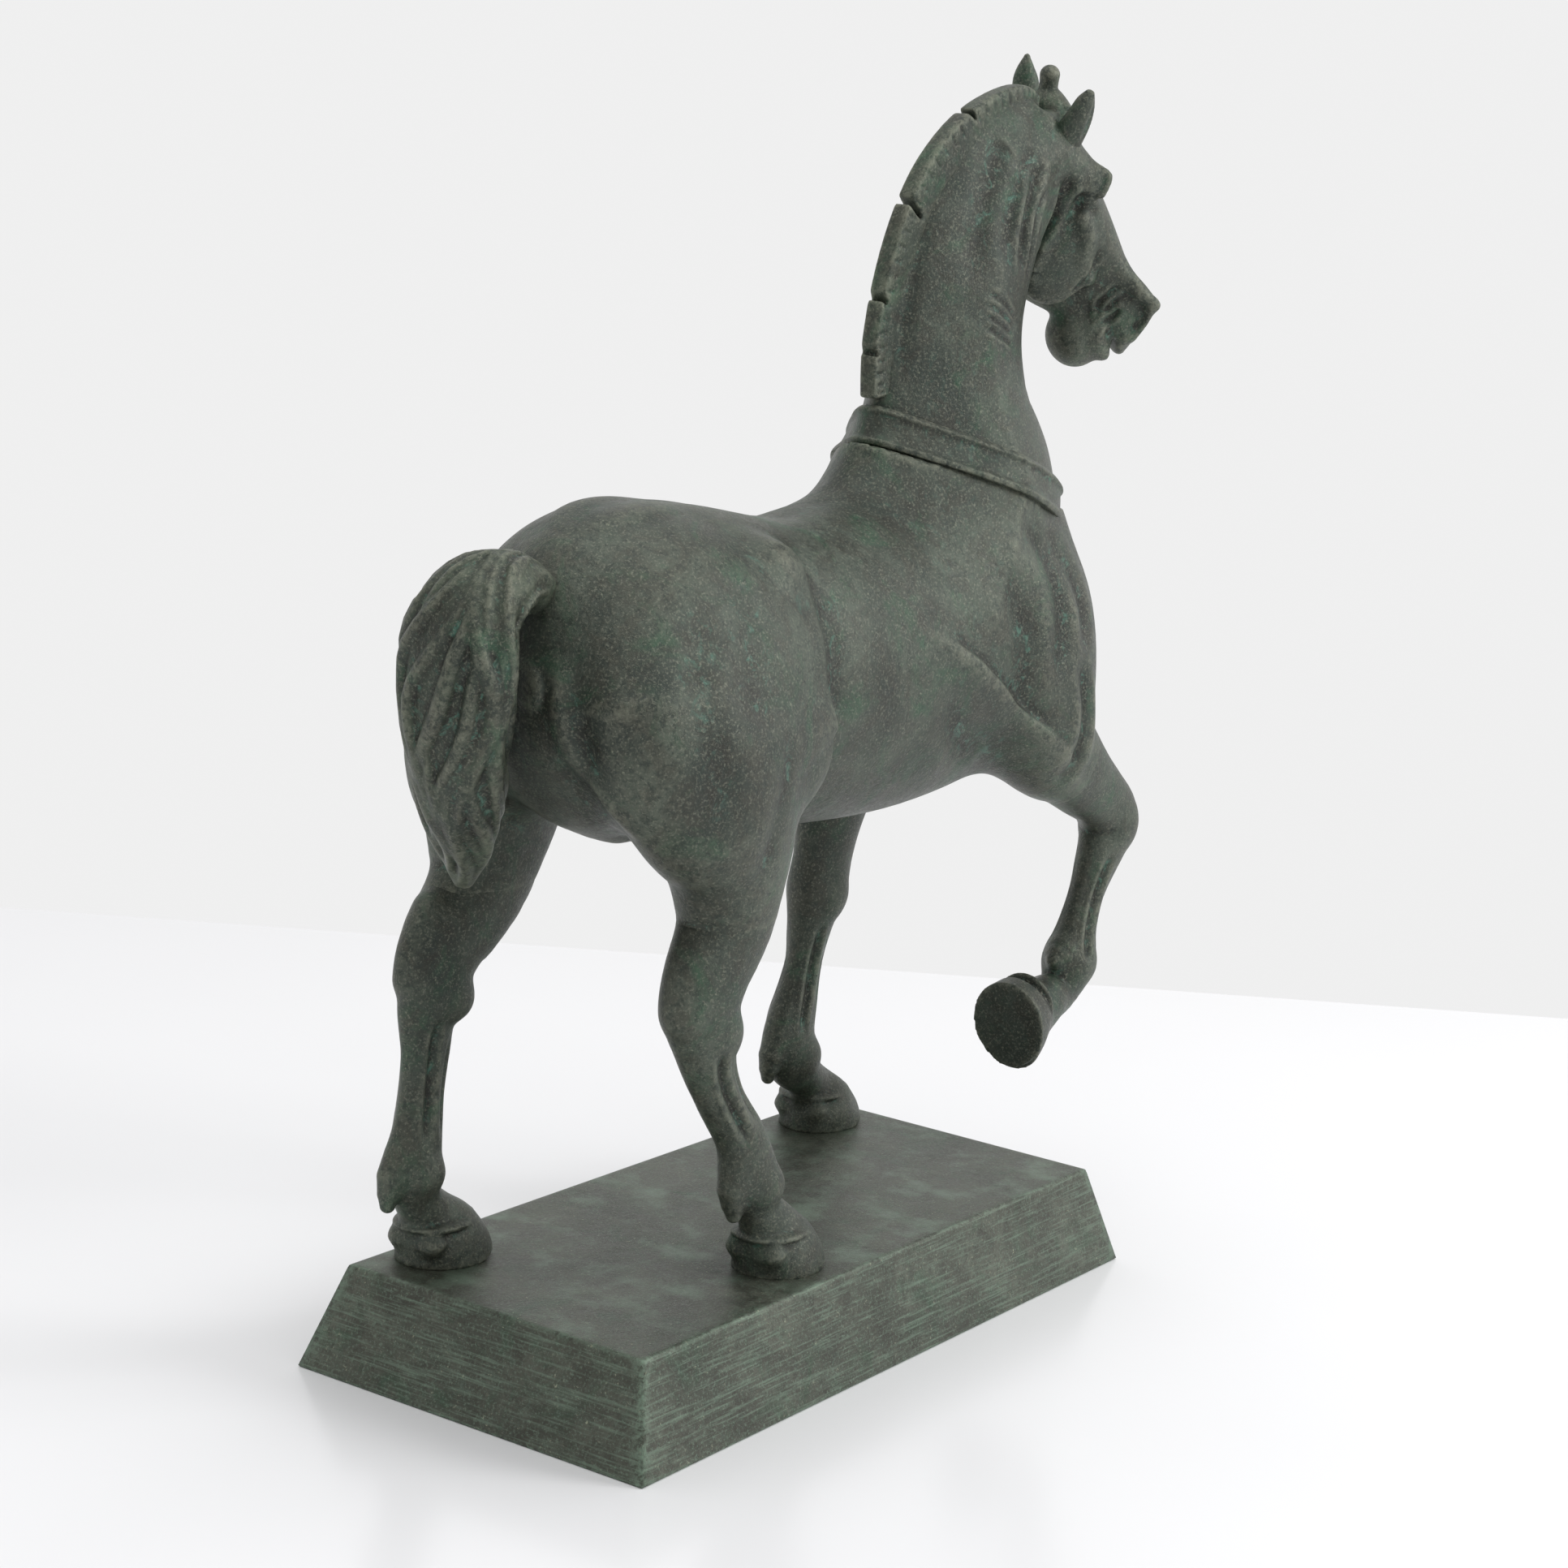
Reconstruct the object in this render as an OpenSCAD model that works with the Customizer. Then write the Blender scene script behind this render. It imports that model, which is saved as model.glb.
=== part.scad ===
// Striding horse on an oblong plinth: a statuette assembled from hollow and solid castings.
// Frame: +X ahead of the horse, +Y its left side, +Z up, origin under the middle of the statuette's box.

/* [Plinth] */
// Length of the plinth along its foot
plinth_l = 250; // [240:1:320]
// Width of the plinth along its foot
plinth_w = 120; // [118:1:170]
// Height of the plinth
plinth_h = 30; // [22:0.5:45]
// How far each side leans in from foot to top
plinth_lean = 9; // [2:0.5:10]
// Wall of the hollow plinth
plinth_wall = 5; // [3:0.5:6.5]
// Rounding of the plinth's edges
plinth_edge = 1.6; // [0.6:0.2:3]

/* [Horse] */
// Height of the horse from the plinth to the tips of its ears
horse_h = 342; // [285:1:350]
// Wall of the hollow body and neck
wall = 4; // [3:0.5:5]

/* [Joints] */
// Radius of the legs' tenons
tenon_r = 6; // [4:0.25:7]
// Length of the legs' tenons
tenon_l = 15; // [10:1:18]
// Radius of the neck's spigot
spigot_r = 21; // [16:0.5:24]
// Length of the neck's spigot
spigot_l = 16; // [14:1:20]
// Radius of the tail's spigot
tail_spigot_r = 3.5; // [2.5:0.25:4]
// Length of the tail's spigot
tail_spigot_l = 12; // [9:1:15]
// Radius of the cross pins
pin_r = 1.6; // [1:0.1:2.2]
// Gap all round between a spigot or pin and its bore
fit_gap = 0.1; // [0.05:0.05:0.25]

/* [Collar] */
// Width of the collar's band along the neck
collar_band = 11.5; // [8:0.5:14]
// Thickness of the collar's band
collar_t = 2; // [1.4:0.1:3]
// Height of the collar's two rims above its band
collar_rim = 1; // [0.5:0.1:1.6]

/* [Fixings] */
// Radius of the hoof studs
stud_r = 2.5; // [1.5:0.1:3.5]
// Depth of the stud in the hoof
stud_in_hoof = 11; // [7:0.5:14]
// Thickness of a stud's nut
nut_t = 4; // [3:0.5:6]
// Thickness of a stud's washer
washer_t = 1.2; // [0.8:0.2:2]

/* [Hidden] */
$fn = 48;

// The forms below are drawn for a horse 342 high, in heights above the plinth's top, and scaled to horse_h.
drawn_h = 342;
k = horse_h / drawn_h;
// Where the forms' own zero, over the middle of the plinth, stands in the part's frame
stand = [-4.4, 0, plinth_h];

// Each station of a form is [x, y, z, half width across, half depth ahead, half depth behind].
torso_line = [
    [-121, 0, 170, 10, 9, 10],
    [-116, 0, 170, 19, 24, 23],
    [-104, 0, 171, 28, 39, 36],
    [-86, 0, 172, 35, 46, 42],
    [-62, 0, 172, 37, 48, 44],
    [-36, 0, 169, 37, 47, 43],
    [-8, 0, 165, 37, 46, 44],
    [20, 0, 165, 38, 48, 46],
    [48, 0, 166, 38, 49, 46],
    [76, 0, 166, 38, 46, 43],
    [98, 0, 166, 35, 40, 38],
    [114, 0, 167, 28, 32, 30],
    [124, 0, 169, 18, 21, 22],
    [129, 0, 170, 8, 9, 10]];
neck_line = [
    [58, 0, 188, 36, 50, 40],
    [73, 0, 214, 33, 51.5, 44],
    [73, 0, 236, 24, 37, 35],
    [71, 0, 254, 20, 35.5, 31],
    [71, -1, 273, 19, 35.5, 30],
    [77, -3, 291, 18, 32, 29],
    [87, -6, 306, 17, 28, 26],
    [101, -8, 316, 14, 20, 20]];
head_shape = [
    [-6, -3, 0, 8, 9, 6],
    [3, 0, 0, 12, 15, 8],
    [13, 0, 0, 15, 19, 9],
    [23, 0, 0, 14, 24, 8],
    [33, 0, 0, 13, 29, 7],
    [42, 0, 0, 12, 29, 7],
    [50, 0, 0, 10, 18, 8],
    [58, 0, 0, 9, 14, 9],
    [65, 0, 0, 11, 14, 12],
    [72, 0, 0, 10, 13, 10],
    [76, -2, 0, 6, 8, 6]];
thigh_left_line = [
    [-86, 38, 106, 12, 18, 15],
    [-82, 38, 124, 15, 26, 22],
    [-83, 37, 138, 19, 33, 28],
    [-82, 34, 152, 21, 43, 36],
    [-80, 28, 168, 21, 43, 40],
    [-81, 20, 184, 19, 34, 34],
    [-83, 13, 198, 14, 22, 22]];
thigh_right_line = [
    [-67, -33, 106, 12, 17, 15],
    [-70, -34, 124, 15, 25, 19],
    [-77, -34, 138, 18, 35, 26],
    [-80, -31, 152, 21, 46, 36],
    [-79, -27, 168, 21, 45, 41],
    [-81, -20, 184, 19, 35, 35],
    [-83, -13, 198, 14, 22, 22]];
arm_left_line = [
    [86, 34, 114, 11, 15, 15],
    [88, 33, 124, 13, 18, 18],
    [92, 31, 137, 15, 22, 22],
    [95, 28, 154, 16, 26, 27],
    [96, 23, 174, 15, 27, 30],
    [95, 17, 194, 12, 22, 27]];
arm_right_line = [
    [116, -30, 130, 12, 13, 16],
    [106, -30, 136, 14, 17, 19],
    [99, -30, 147, 15, 21, 22],
    [97, -27, 162, 16, 26, 27],
    [97, -23, 180, 15, 27, 29],
    [96, -17, 196, 12, 22, 26]];
hind_left_line = [
    [-92, 38, 0, 13, 16, 15],
    [-95, 38, 7, 12, 15, 14],
    [-99, 38, 13, 9, 12, 12],
    [-104, 38, 20, 8, 10, 11],
    [-106, 38, 27, 7, 10, 11],
    [-105, 38, 36, 6, 8, 9],
    [-104, 38, 49, 5, 7, 8],
    [-103, 38, 62, 5, 8, 9],
    [-103, 38, 72, 7, 9, 10],
    [-101, 38, 82, 8, 13, 13],
    [-97, 38, 93, 10, 17, 14],
    [-86, 38, 106, 12, 18, 15]];
hind_right_line = [
    [-30, -33, 0, 13, 16, 14],
    [-33, -33, 7, 12, 14, 13],
    [-37, -33, 14, 9, 11, 11],
    [-43, -33, 22, 8, 10, 11],
    [-46, -33, 31, 8, 10, 11],
    [-53, -33, 43, 6, 8, 8],
    [-62, -33, 54, 6, 7, 7],
    [-68, -33, 64, 6, 8, 9],
    [-72, -33, 74, 8, 12, 12],
    [-74, -33, 84, 9, 13, 15],
    [-72, -33, 94, 10, 15, 15],
    [-67, -33, 106, 12, 17, 15]];
fore_left_line = [
    [94, 37, 0, 13, 16, 15],
    [90, 36, 7, 12, 15, 14],
    [86, 36, 13, 10, 12, 12],
    [79, 35, 19, 8, 10, 11],
    [73, 35, 25, 8, 10, 11],
    [71, 35, 35, 8, 10, 12],
    [73, 35, 46, 6, 8, 8],
    [76, 35, 58, 5, 7, 7],
    [78, 35, 71, 7, 9, 9],
    [80, 35, 80, 9, 11, 11],
    [82, 35, 90, 8, 12, 12],
    [84, 35, 101, 9, 13, 13],
    [86, 34, 114, 11, 15, 15]];
fore_right_line = [
    [95, -30, 47, 14, 17, 14],
    [102, -30, 48, 13, 14, 13],
    [110, -30, 49, 11, 12, 12],
    [118, -30, 51, 8, 10, 9],
    [127, -30, 53, 7, 9, 8],
    [132, -30, 60, 8, 11, 10],
    [135, -30, 70, 6, 8, 7],
    [139, -30, 83, 5, 7, 7],
    [145, -30, 96, 7, 10, 9],
    [148, -30, 106, 9, 12, 11],
    [141, -30, 114, 9, 10, 11],
    [130, -30, 121, 10, 11, 13],
    [116, -30, 130, 12, 13, 16]];
tail_line = [
    [-110, 0, 189.5, 8, 7, 7],
    [-118, 0, 194, 8, 7, 7],
    [-130, 1, 195, 13, 9, 9],
    [-139, 3, 187, 15, 11, 11],
    [-140, 4, 172, 15, 11, 12],
    [-135, 6, 156, 14, 11, 11],
    [-126, 9, 138, 11, 9, 9],
    [-119, 15, 124, 7, 6, 6],
    [-113, 20, 114, 3, 3, 3]];
mane_line = [
    [41, 0, 243, 3, 4, 6],
    [40, 0, 255, 3, 6, 6],
    [41, -1, 271, 3, 6, 6],
    [44, -3, 288, 3, 6, 6],
    [51, -5, 303, 3, 6, 6],
    [62, -7, 315, 3, 6, 6],
    [76, -8, 323, 3, 6, 6],
    [90, -9, 327, 3, 6, 6],
    [99, -9, 327, 2, 4, 4]];
forelock_shape = [
    [-1, 1, 0, 7, 8, 6],
    [-7, 2, 0, 6, 6, 6],
    [-12, 2, 0, 3, 3, 3],
    [-15, 2, 0, 4, 4, 4],
    [-18, 2, 0, 2, 2, 2]];
chin_shape = [
    [53, -11, 0, 5, 5, 5],
    [59, -12, 0, 8, 8, 8],
    [67, -13, 0, 8, 8, 8],
    [74, -12, 0, 5, 5, 5]];
ear_left_shape = [
    [ -1, -2, -10, 5, 5, 5],
    [ -9,  0, -13, 5, 4, 4],
    [-15,  1, -15, 3, 3, 3],
    [-20,  2, -16, 1, 1, 1]];
ear_right_shape = [
    [2, -3, 11, 5, 5, 5],
    [-4, 2, 13, 5, 4, 4],
    [-8, 7, 15, 4, 3, 3],
    [-12, 11, 16, 1, 1, 1]];

function unit(v) = v / norm(v);
function centre(s) = [s[0], s[1], s[2]];
function between(a, b, c, d) = (9 * (b + c) - a - d) / 16;
// Adds a station half way along each gap, on a smooth curve through its neighbours
function refine(line) = let(last = len(line) - 1)
    [for (i = [0 : last]) each i == last ? [line[i]]
        : [line[i], between(line[max(i - 1, 0)], line[i], line[i + 1], line[min(i + 2, last)])]];
function heading(line, i) = unit(centre(line[min(i + 1, len(line) - 1)]) - centre(line[max(i - 1, 0)]));
// A ring across heading t; "ahead" is the horse's front on a form that runs upwards
function ring(s, t, left, sides, grow, pinch) =
    let(side = unit(left - t * (t * left)), ahead = cross(side, t), c = centre(s) * k)
    [for (j = [0 : sides - 1]) let(a = 360 * j / sides, narrow = 1 + pinch * min(sin(a), 0))
        c + side * (s[3] * k + grow) * cos(a) * narrow
          + ahead * ((sin(a) > 0 ? s[4] : s[5]) * k + grow) * sin(a)];

// The head's own frame: along the face to the muzzle, out of the forehead, and to the head's right
poll = [114, -9, 321];
head_turn = 40;
head_drop = 62.5;
head_tilt = 14;
heading_flat = [cos(head_turn), -sin(head_turn), 0];
right_flat = [-sin(head_turn), -cos(head_turn), 0];
head_right = right_flat * cos(head_tilt) - [0, 0, sin(head_tilt)];
crown = right_flat * sin(head_tilt) + [0, 0, cos(head_tilt)];
head_along = heading_flat * cos(head_drop) - crown * sin(head_drop);
head_out = heading_flat * sin(head_drop) + crown * cos(head_drop);
// Turns a shape drawn in the head's frame as [along, out, right, ...] into stations
function on_head(shape) = [for (s = shape)
    concat(poll + head_along * s[0] + head_out * s[1] + head_right * s[2], [s[3], s[4], s[5]])];

// A closed skin over a line of stations; start and end set the directions of its two end faces
module form(line, start = undef, end = undef, left = [0, 1, 0], sides = 20, grow = 0, pinch = 0) {
    fine = refine(line);
    last = len(fine) - 1;
    rings = [for (i = [0 : last])
        let(t = i == 0 && start != undef ? unit(start)
              : i == last && end != undef ? unit(end) : heading(fine, i))
        ring(fine[i], t, left, sides, grow, pinch)];
    translate(stand) polyhedron(
        points = [for (r = rings) each r],
        faces = concat(
            [[for (j = [sides - 1 : -1 : 0]) j]],
            [[for (j = [0 : sides - 1]) last * sides + j]],
            [for (i = [0 : last - 1], j = [0 : sides - 1])
                let(a = i * sides + j, b = i * sides + (j + 1) % sides)
                each [[a, b, b + sides], [a, b + sides, a + sides]]]));
}
module head_form(shape) form(on_head(shape), left = -head_right, sides = 16);

// Directions of the joint faces
upright = [0, 0, 1];
forearm_axis = [-0.93, 0, 0.37];
neck_axis = [0.32, 0, 0.95];
tail_axis = [-0.8, 0, 0.6];
neck_joint = 1;

// Puts its children on a station of the horse, with their +Z along an axis
module at(s, axis) {
    turn = unit(axis);
    translate(centre(s) * k + stand)
        rotate([0, acos(turn[2]), atan2(turn[1], turn[0])]) children();
}
module joined() resize([0, 0, 0]) union() children();

neck_in_body = [for (i = [0 : neck_joint]) neck_line[i]];
neck_above = [for (i = [neck_joint : len(neck_line) - 1]) neck_line[i]];
neck_pinch = 0.5;
neck_top = neck_line[neck_joint];

// Outer skins of the castings
module neck_skin() {
    joined() {
        form(neck_above, neck_axis, pinch = neck_pinch);
        form(mane_line, sides = 10);
        head_form(head_shape);
        head_form(chin_shape);
        head_form(forelock_shape);
        head_form(ear_left_shape);
        head_form(ear_right_shape);
    }
}
module body_skin() {
    joined() {
        form(torso_line, [1, 0, 0], [1, 0, 0], sides = 24);
        form(neck_in_body, end = neck_axis, pinch = neck_pinch);
        form(thigh_left_line, upright);
        form(thigh_right_line, upright);
        form(arm_left_line, upright);
        form(arm_right_line, forearm_axis);
    }
}

// The hollows left by the casting cores
core_line = [for (i = [2 : len(torso_line) - 4]) torso_line[i]];
function thigh_core(line) = [for (i = [2 : 5]) line[i]];
neck_core_line = [for (i = [neck_joint + 1 : len(neck_line) - 3]) neck_line[i]];

// A leg's joint: the socket's and tenon's station, its axis into the body, and its cross pin's half length
leg_joints = [
    [thigh_left_line[0], upright, 11.4],
    [thigh_right_line[0], upright, 10],
    [arm_left_line[0], upright, 11],
    [arm_right_line[0], forearm_axis, 11.6]];
pin_depth = tenon_l * 0.5;
// How far a bore is cut past the piece it goes through, and past the thighs, which are wider than a leg
bore_over = 2;
thigh_bore_half = 18;
module leg_tenon(i) at(leg_joints[i][0], leg_joints[i][1])
    translate([0, 0, -1]) cylinder(r = tenon_r, h = tenon_l + 1);
module leg_socket(i) at(leg_joints[i][0], leg_joints[i][1])
    translate([0, 0, -1]) cylinder(r = tenon_r + fit_gap, h = tenon_l + fit_gap + 1);
module leg_pin(i, r, half) at(leg_joints[i][0], leg_joints[i][1])
    translate([0, 0, pin_depth]) rotate([90, 0, 0]) cylinder(r = r, h = 2 * half, center = true);

hooves = [hind_left_line[0], hind_right_line[0], fore_left_line[0]];
module under_hoof(h, z) translate([h[0] * k + stand[0], h[1] * k, z]) children();
stud_clear = 0.3;
stud_end = 1.5;
stud_foot = plinth_wall + washer_t + nut_t + stud_end;
// A washer and a nut stay clear of the hollow's nearest wall
washer_room = plinth_w / 2 - plinth_wall - plinth_lean - max([for (h = hooves) abs(h[1])]) * k - 0.5;
washer_r = min(stud_r * 2, washer_room);
nut_r = min(stud_r * 1.8, washer_room);

// One corner-to-corner block of the plinth's outline, shrunk all round by a wall
module plinth_block(inset, z) translate([0, 0, z])
    cube([plinth_l - 2 * inset, plinth_w - 2 * inset, 1], center = true);
module plinth() {
    color([0.27, 0.30, 0.25]) difference() {
        translate([stand[0], 0, 0]) difference() {
            hull() for (x = [-1, 1], y = [-1, 1]) {
                translate([x * (plinth_l / 2 - plinth_edge), y * (plinth_w / 2 - plinth_edge), 0])
                    cylinder(r = plinth_edge, h = plinth_edge, $fn = 24);
                translate([x * (plinth_l / 2 - plinth_lean - plinth_edge),
                           y * (plinth_w / 2 - plinth_lean - plinth_edge), plinth_h - plinth_edge])
                    sphere(r = plinth_edge, $fn = 24);
            }
            hull() {
                plinth_block(plinth_wall, -0.5);
                plinth_block(plinth_wall + plinth_lean, plinth_h - plinth_wall - 0.5);
            }
        }
        for (h = hooves) under_hoof(h, 0) cylinder(r = stud_r + stud_clear, h = plinth_h + 1);
    }
}
module hoof_studs() {
    color([0.55, 0.50, 0.35]) for (h = hooves)
        under_hoof(h, plinth_h - stud_foot) cylinder(r = stud_r, h = stud_foot + stud_in_hoof);
}
module ring_piece(outer, sides, height, bore) difference() {
    cylinder(r = outer, h = height, $fn = sides);
    translate([0, 0, -1]) cylinder(r = bore, h = height + 2);
}
module stud_washers() {
    color([0.55, 0.50, 0.35]) for (h = hooves)
        under_hoof(h, plinth_h - plinth_wall - washer_t)
            ring_piece(washer_r, 48, washer_t, stud_r + stud_clear);
}
module stud_nuts() {
    color([0.60, 0.55, 0.38]) for (h = hooves)
        under_hoof(h, plinth_h - plinth_wall - washer_t - nut_t)
            ring_piece(nut_r, 6, nut_t, stud_r + fit_gap);
}

module leg(line, end, joint, hoof = undef) {
    color([0.29, 0.33, 0.28]) difference() {
        union() {
            form(line, hoof == undef ? undef : upright, end);
            leg_tenon(joint);
        }
        leg_pin(joint, pin_r + fit_gap, tenon_r + bore_over);
        if (hoof != undef) under_hoof(hoof, plinth_h - 1)
            cylinder(r = stud_r + fit_gap, h = stud_in_hoof + fit_gap + 1);
    }
}
module hind_leg_left() leg(hind_left_line, upright, 0, hooves[0]);
module hind_leg_right() leg(hind_right_line, upright, 1, hooves[1]);
module fore_leg_left() leg(fore_left_line, upright, 2, hooves[2]);
module fore_leg_right() leg(fore_right_line, forearm_axis, 3);
module leg_pins() {
    color([0.62, 0.55, 0.36]) for (i = [0 : 3]) leg_pin(i, pin_r, leg_joints[i][2] * k);
}

// The neck's spigot runs down its axis into a ring of metal in the body
neck_pin_depth = spigot_l * 0.5;
neck_pin_out = 32.6;
neck_pin_in = spigot_r - wall - bore_over;
neck_bore_over = 3;
// How far the neck's own hollow goes on above its joint before it narrows
neck_core_h = 30;
module neck_pin(side, r, extra) at(neck_top, -neck_axis) translate([0, 0, neck_pin_depth])
    rotate([side * 90, 0, 0]) translate([0, 0, neck_pin_in - extra])
        cylinder(r = r, h = neck_pin_out * k - neck_pin_in + 2 * extra);
module neck_and_head() {
    color([0.28, 0.32, 0.28]) difference() {
        union() {
            neck_skin();
            at(neck_top, -neck_axis) translate([0, 0, -wall]) cylinder(r = spigot_r, h = spigot_l + wall);
        }
        at(neck_top, neck_axis) translate([0, 0, -spigot_l - 1])
            cylinder(r = spigot_r - wall, h = spigot_l + 1 + neck_core_h * k);
        form(neck_core_line, pinch = neck_pinch, grow = -wall);
        for (side = [-1, 1]) neck_pin(side, pin_r + fit_gap, neck_bore_over);
    }
}
module neck_pins() color([0.62, 0.55, 0.36]) for (side = [-1, 1]) neck_pin(side, pin_r, 0);

// The collar's rings follow the neck's skin: step 0 is the joint, and each step is a ring of the neck's form
collar_fine = refine(neck_above);
function collar_base(i, grow) =
    ring(collar_fine[i], i == 0 ? unit(neck_axis) : heading(collar_fine, i), [0, 1, 0], 32, grow, neck_pinch);
function collar_ring(step, grow) = let(i = min(floor(step), 1), f = step - i)
    collar_base(i, grow) * (1 - f) + collar_base(i + 1, grow) * f;
collar_steps = collar_band / (norm(centre(collar_fine[2]) - centre(collar_fine[0])) * k) * 2;
// Each pair is a share of the band's width and the height above the band
collar_profile = [[0, 0.6], [0.05, 1], [0.18, 1], [0.24, 0], [0.76, 0], [0.82, 1], [0.95, 1], [1, 0.6]];
module collar() {
    outer = [for (p = collar_profile) collar_ring(p[0] * collar_steps, collar_t + p[1] * collar_rim)];
    inner = [for (f = [1, 0.5, 0]) collar_ring(f * collar_steps, fit_gap)];
    rings = concat(outer, inner);
    n = len(rings);
    color([0.32, 0.35, 0.30]) translate(stand) polyhedron(
        points = [for (r = rings) each r],
        faces = [for (i = [0 : n - 1], j = [0 : 31])
            let(a = i * 32 + j, b = i * 32 + (j + 1) % 32,
                c = ((i + 1) % n) * 32 + (j + 1) % 32, d = ((i + 1) % n) * 32 + j)
            each [[a, b, c], [a, c, d]]]);
}

// The tail is let into a round pocket in the croup
tail_root = tail_line[0];
tail_clear = 0.4;
tail_pocket = 20;
module tail() {
    color([0.28, 0.32, 0.27]) difference() {
        union() {
            form(tail_line, tail_axis);
            at(tail_root, -tail_axis)
                translate([0, 0, -2]) cylinder(r = tail_spigot_r, h = tail_spigot_l + 2);
        }
        tail_pin_at(tail_pin_r + fit_gap, bore_over);
    }
}
// The tail's pin is driven down from the top of the croup
tail_pin_r = 1;
tail_pin_out = 19;
module tail_pin_at(r, extra) at(tail_root, -tail_axis) translate([0, 0, tail_spigot_l * 0.5])
    rotate([0, -90, 0]) translate([0, 0, -tail_spigot_r - extra])
        cylinder(r = r, h = tail_spigot_r + tail_pin_out * k + 2 * extra);
module tail_pin() color([0.62, 0.55, 0.36]) tail_pin_at(tail_pin_r, 0);

module body_casting() {
    color([0.29, 0.33, 0.29]) difference() {
        body_skin();
        difference() {
            joined() {
                form(core_line, [1, 0, 0], [1, 0, 0], sides = 24, grow = -wall);
                form(thigh_core(thigh_left_line), grow = -wall);
                form(thigh_core(thigh_right_line), grow = -wall);
            }
            at(neck_top, -neck_axis) cylinder(r = spigot_r + wall, h = spigot_l + 2);
            at(tail_root, -tail_axis) cylinder(r = tail_spigot_r + wall, h = tail_spigot_l + 2);
        }
        at(neck_top, -neck_axis) translate([0, 0, -1]) cylinder(r = spigot_r + fit_gap, h = spigot_l + 3);
        at(tail_root, tail_axis) cylinder(r = tail_root[3] * k + tail_clear, h = tail_pocket * k);
        at(tail_root, -tail_axis)
            translate([0, 0, -1]) cylinder(r = tail_spigot_r + fit_gap, h = tail_spigot_l + 1);
        tail_pin_at(tail_pin_r + fit_gap, bore_over);
        for (i = [0 : 3]) {
            leg_socket(i);
            leg_pin(i, pin_r + fit_gap, thigh_bore_half);
        }
        for (side = [-1, 1]) neck_pin(side, pin_r + fit_gap, neck_bore_over);
    }
}

plinth();
body_casting();
neck_and_head();
collar();
tail();
hind_leg_left();
hind_leg_right();
fore_leg_left();
fore_leg_right();
leg_pins();
neck_pins();
tail_pin();
hoof_studs();
stud_washers();
stud_nuts();
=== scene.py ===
"""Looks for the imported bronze: a striding horse on an oblong plinth.

Every visible casting is modelled here as a block of signed distances, skinned as a mesh and then chased
with strokes, in millimetres from the middle of the plinth's top. The bench turns those into the part's frame.
"""

import logging
import math
from dataclasses import dataclass, field, replace
from enum import Enum

import bpy
import numpy as np
import openvdb as vdb
from mathutils import Matrix, Vector


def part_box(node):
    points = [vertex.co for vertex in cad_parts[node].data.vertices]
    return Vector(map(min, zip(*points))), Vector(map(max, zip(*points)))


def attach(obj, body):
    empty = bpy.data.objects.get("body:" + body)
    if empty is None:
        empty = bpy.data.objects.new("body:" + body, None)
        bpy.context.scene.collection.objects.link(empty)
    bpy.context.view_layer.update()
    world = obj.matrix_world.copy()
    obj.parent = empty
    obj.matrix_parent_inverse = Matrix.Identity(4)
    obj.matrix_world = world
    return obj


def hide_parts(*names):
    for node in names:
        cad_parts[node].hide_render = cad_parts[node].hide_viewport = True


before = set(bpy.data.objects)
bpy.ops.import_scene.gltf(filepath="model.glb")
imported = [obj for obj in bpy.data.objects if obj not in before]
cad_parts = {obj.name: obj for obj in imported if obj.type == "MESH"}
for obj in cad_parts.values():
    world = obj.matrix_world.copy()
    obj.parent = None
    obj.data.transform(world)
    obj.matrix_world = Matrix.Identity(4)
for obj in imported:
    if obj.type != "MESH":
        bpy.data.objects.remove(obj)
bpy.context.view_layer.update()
LOG = logging.getLogger("horse_bronze")

Point = tuple[float, float, float]
Station = tuple[float, float, float, float, float, float]
Colour = tuple[float, float, float]

UPRIGHT: Point = (0.0, 0.0, 1.0)
LEFTWARD: Point = (0.0, 1.0, 0.0)


def unit(vector: object) -> np.ndarray:
    """The vector at length one."""
    v = np.asarray(vector, float)
    return v / np.linalg.norm(v)


def smooth_line(rows: object, times: int = 2) -> np.ndarray:
    """Adds rows between the given ones, on a smooth curve through them.

    Args:
        rows: the rows, each a station or a point.
        times: how often the number of gaps is doubled.

    Returns:
        The longer table.
    """
    line = np.asarray(rows, float)
    for _ in range(times):
        last = len(line) - 1
        i = np.arange(last)
        before, after = line[np.maximum(i - 1, 0)], line[np.minimum(i + 2, last)]
        longer = np.empty((2 * last + 1, line.shape[1]))
        longer[0::2] = line
        longer[1::2] = (9 * (line[i] + line[i + 1]) - before - after) / 16
        line = longer
    return line


@dataclass(frozen=True)
class Bench:
    """Where the modelling millimetres stand in the part's frame, in metres."""

    x: float
    y: float
    top: float

    @classmethod
    def on_plinth(cls) -> "Bench":
        """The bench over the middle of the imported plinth's top."""
        low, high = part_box("plinth")
        return cls((low[0] + high[0]) / 2, (low[1] + high[1]) / 2, high[2])

    def place(self, points: np.ndarray) -> np.ndarray:
        """Turns modelling millimetres into metres in the part's frame."""
        return np.asarray(points, float) / 1000 + np.array([self.x, self.y, self.top])


# ---------------------------------------------------------------- forms


class Form:
    """A solid that lowers a block of distances to its own."""

    def span(self) -> tuple[np.ndarray, np.ndarray]:
        """The lowest and highest corner of the solid."""
        raise NotImplementedError

    def fill(self, axes: list[np.ndarray], out: np.ndarray, reach: float) -> None:
        """Lowers out to the solid's distances.

        Args:
            axes: the block's coordinates along x, y and z.
            out: the block of distances, changed in place.
            reach: how far from the solid its distances matter.
        """
        raise NotImplementedError


def window(axes: list[np.ndarray], low: np.ndarray, high: np.ndarray) -> tuple[slice, ...]:
    """The slices of a block that lie between two corners."""
    return tuple(slice(*np.searchsorted(axis, (a, b))) for axis, a, b in zip(axes, low, high))


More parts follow.
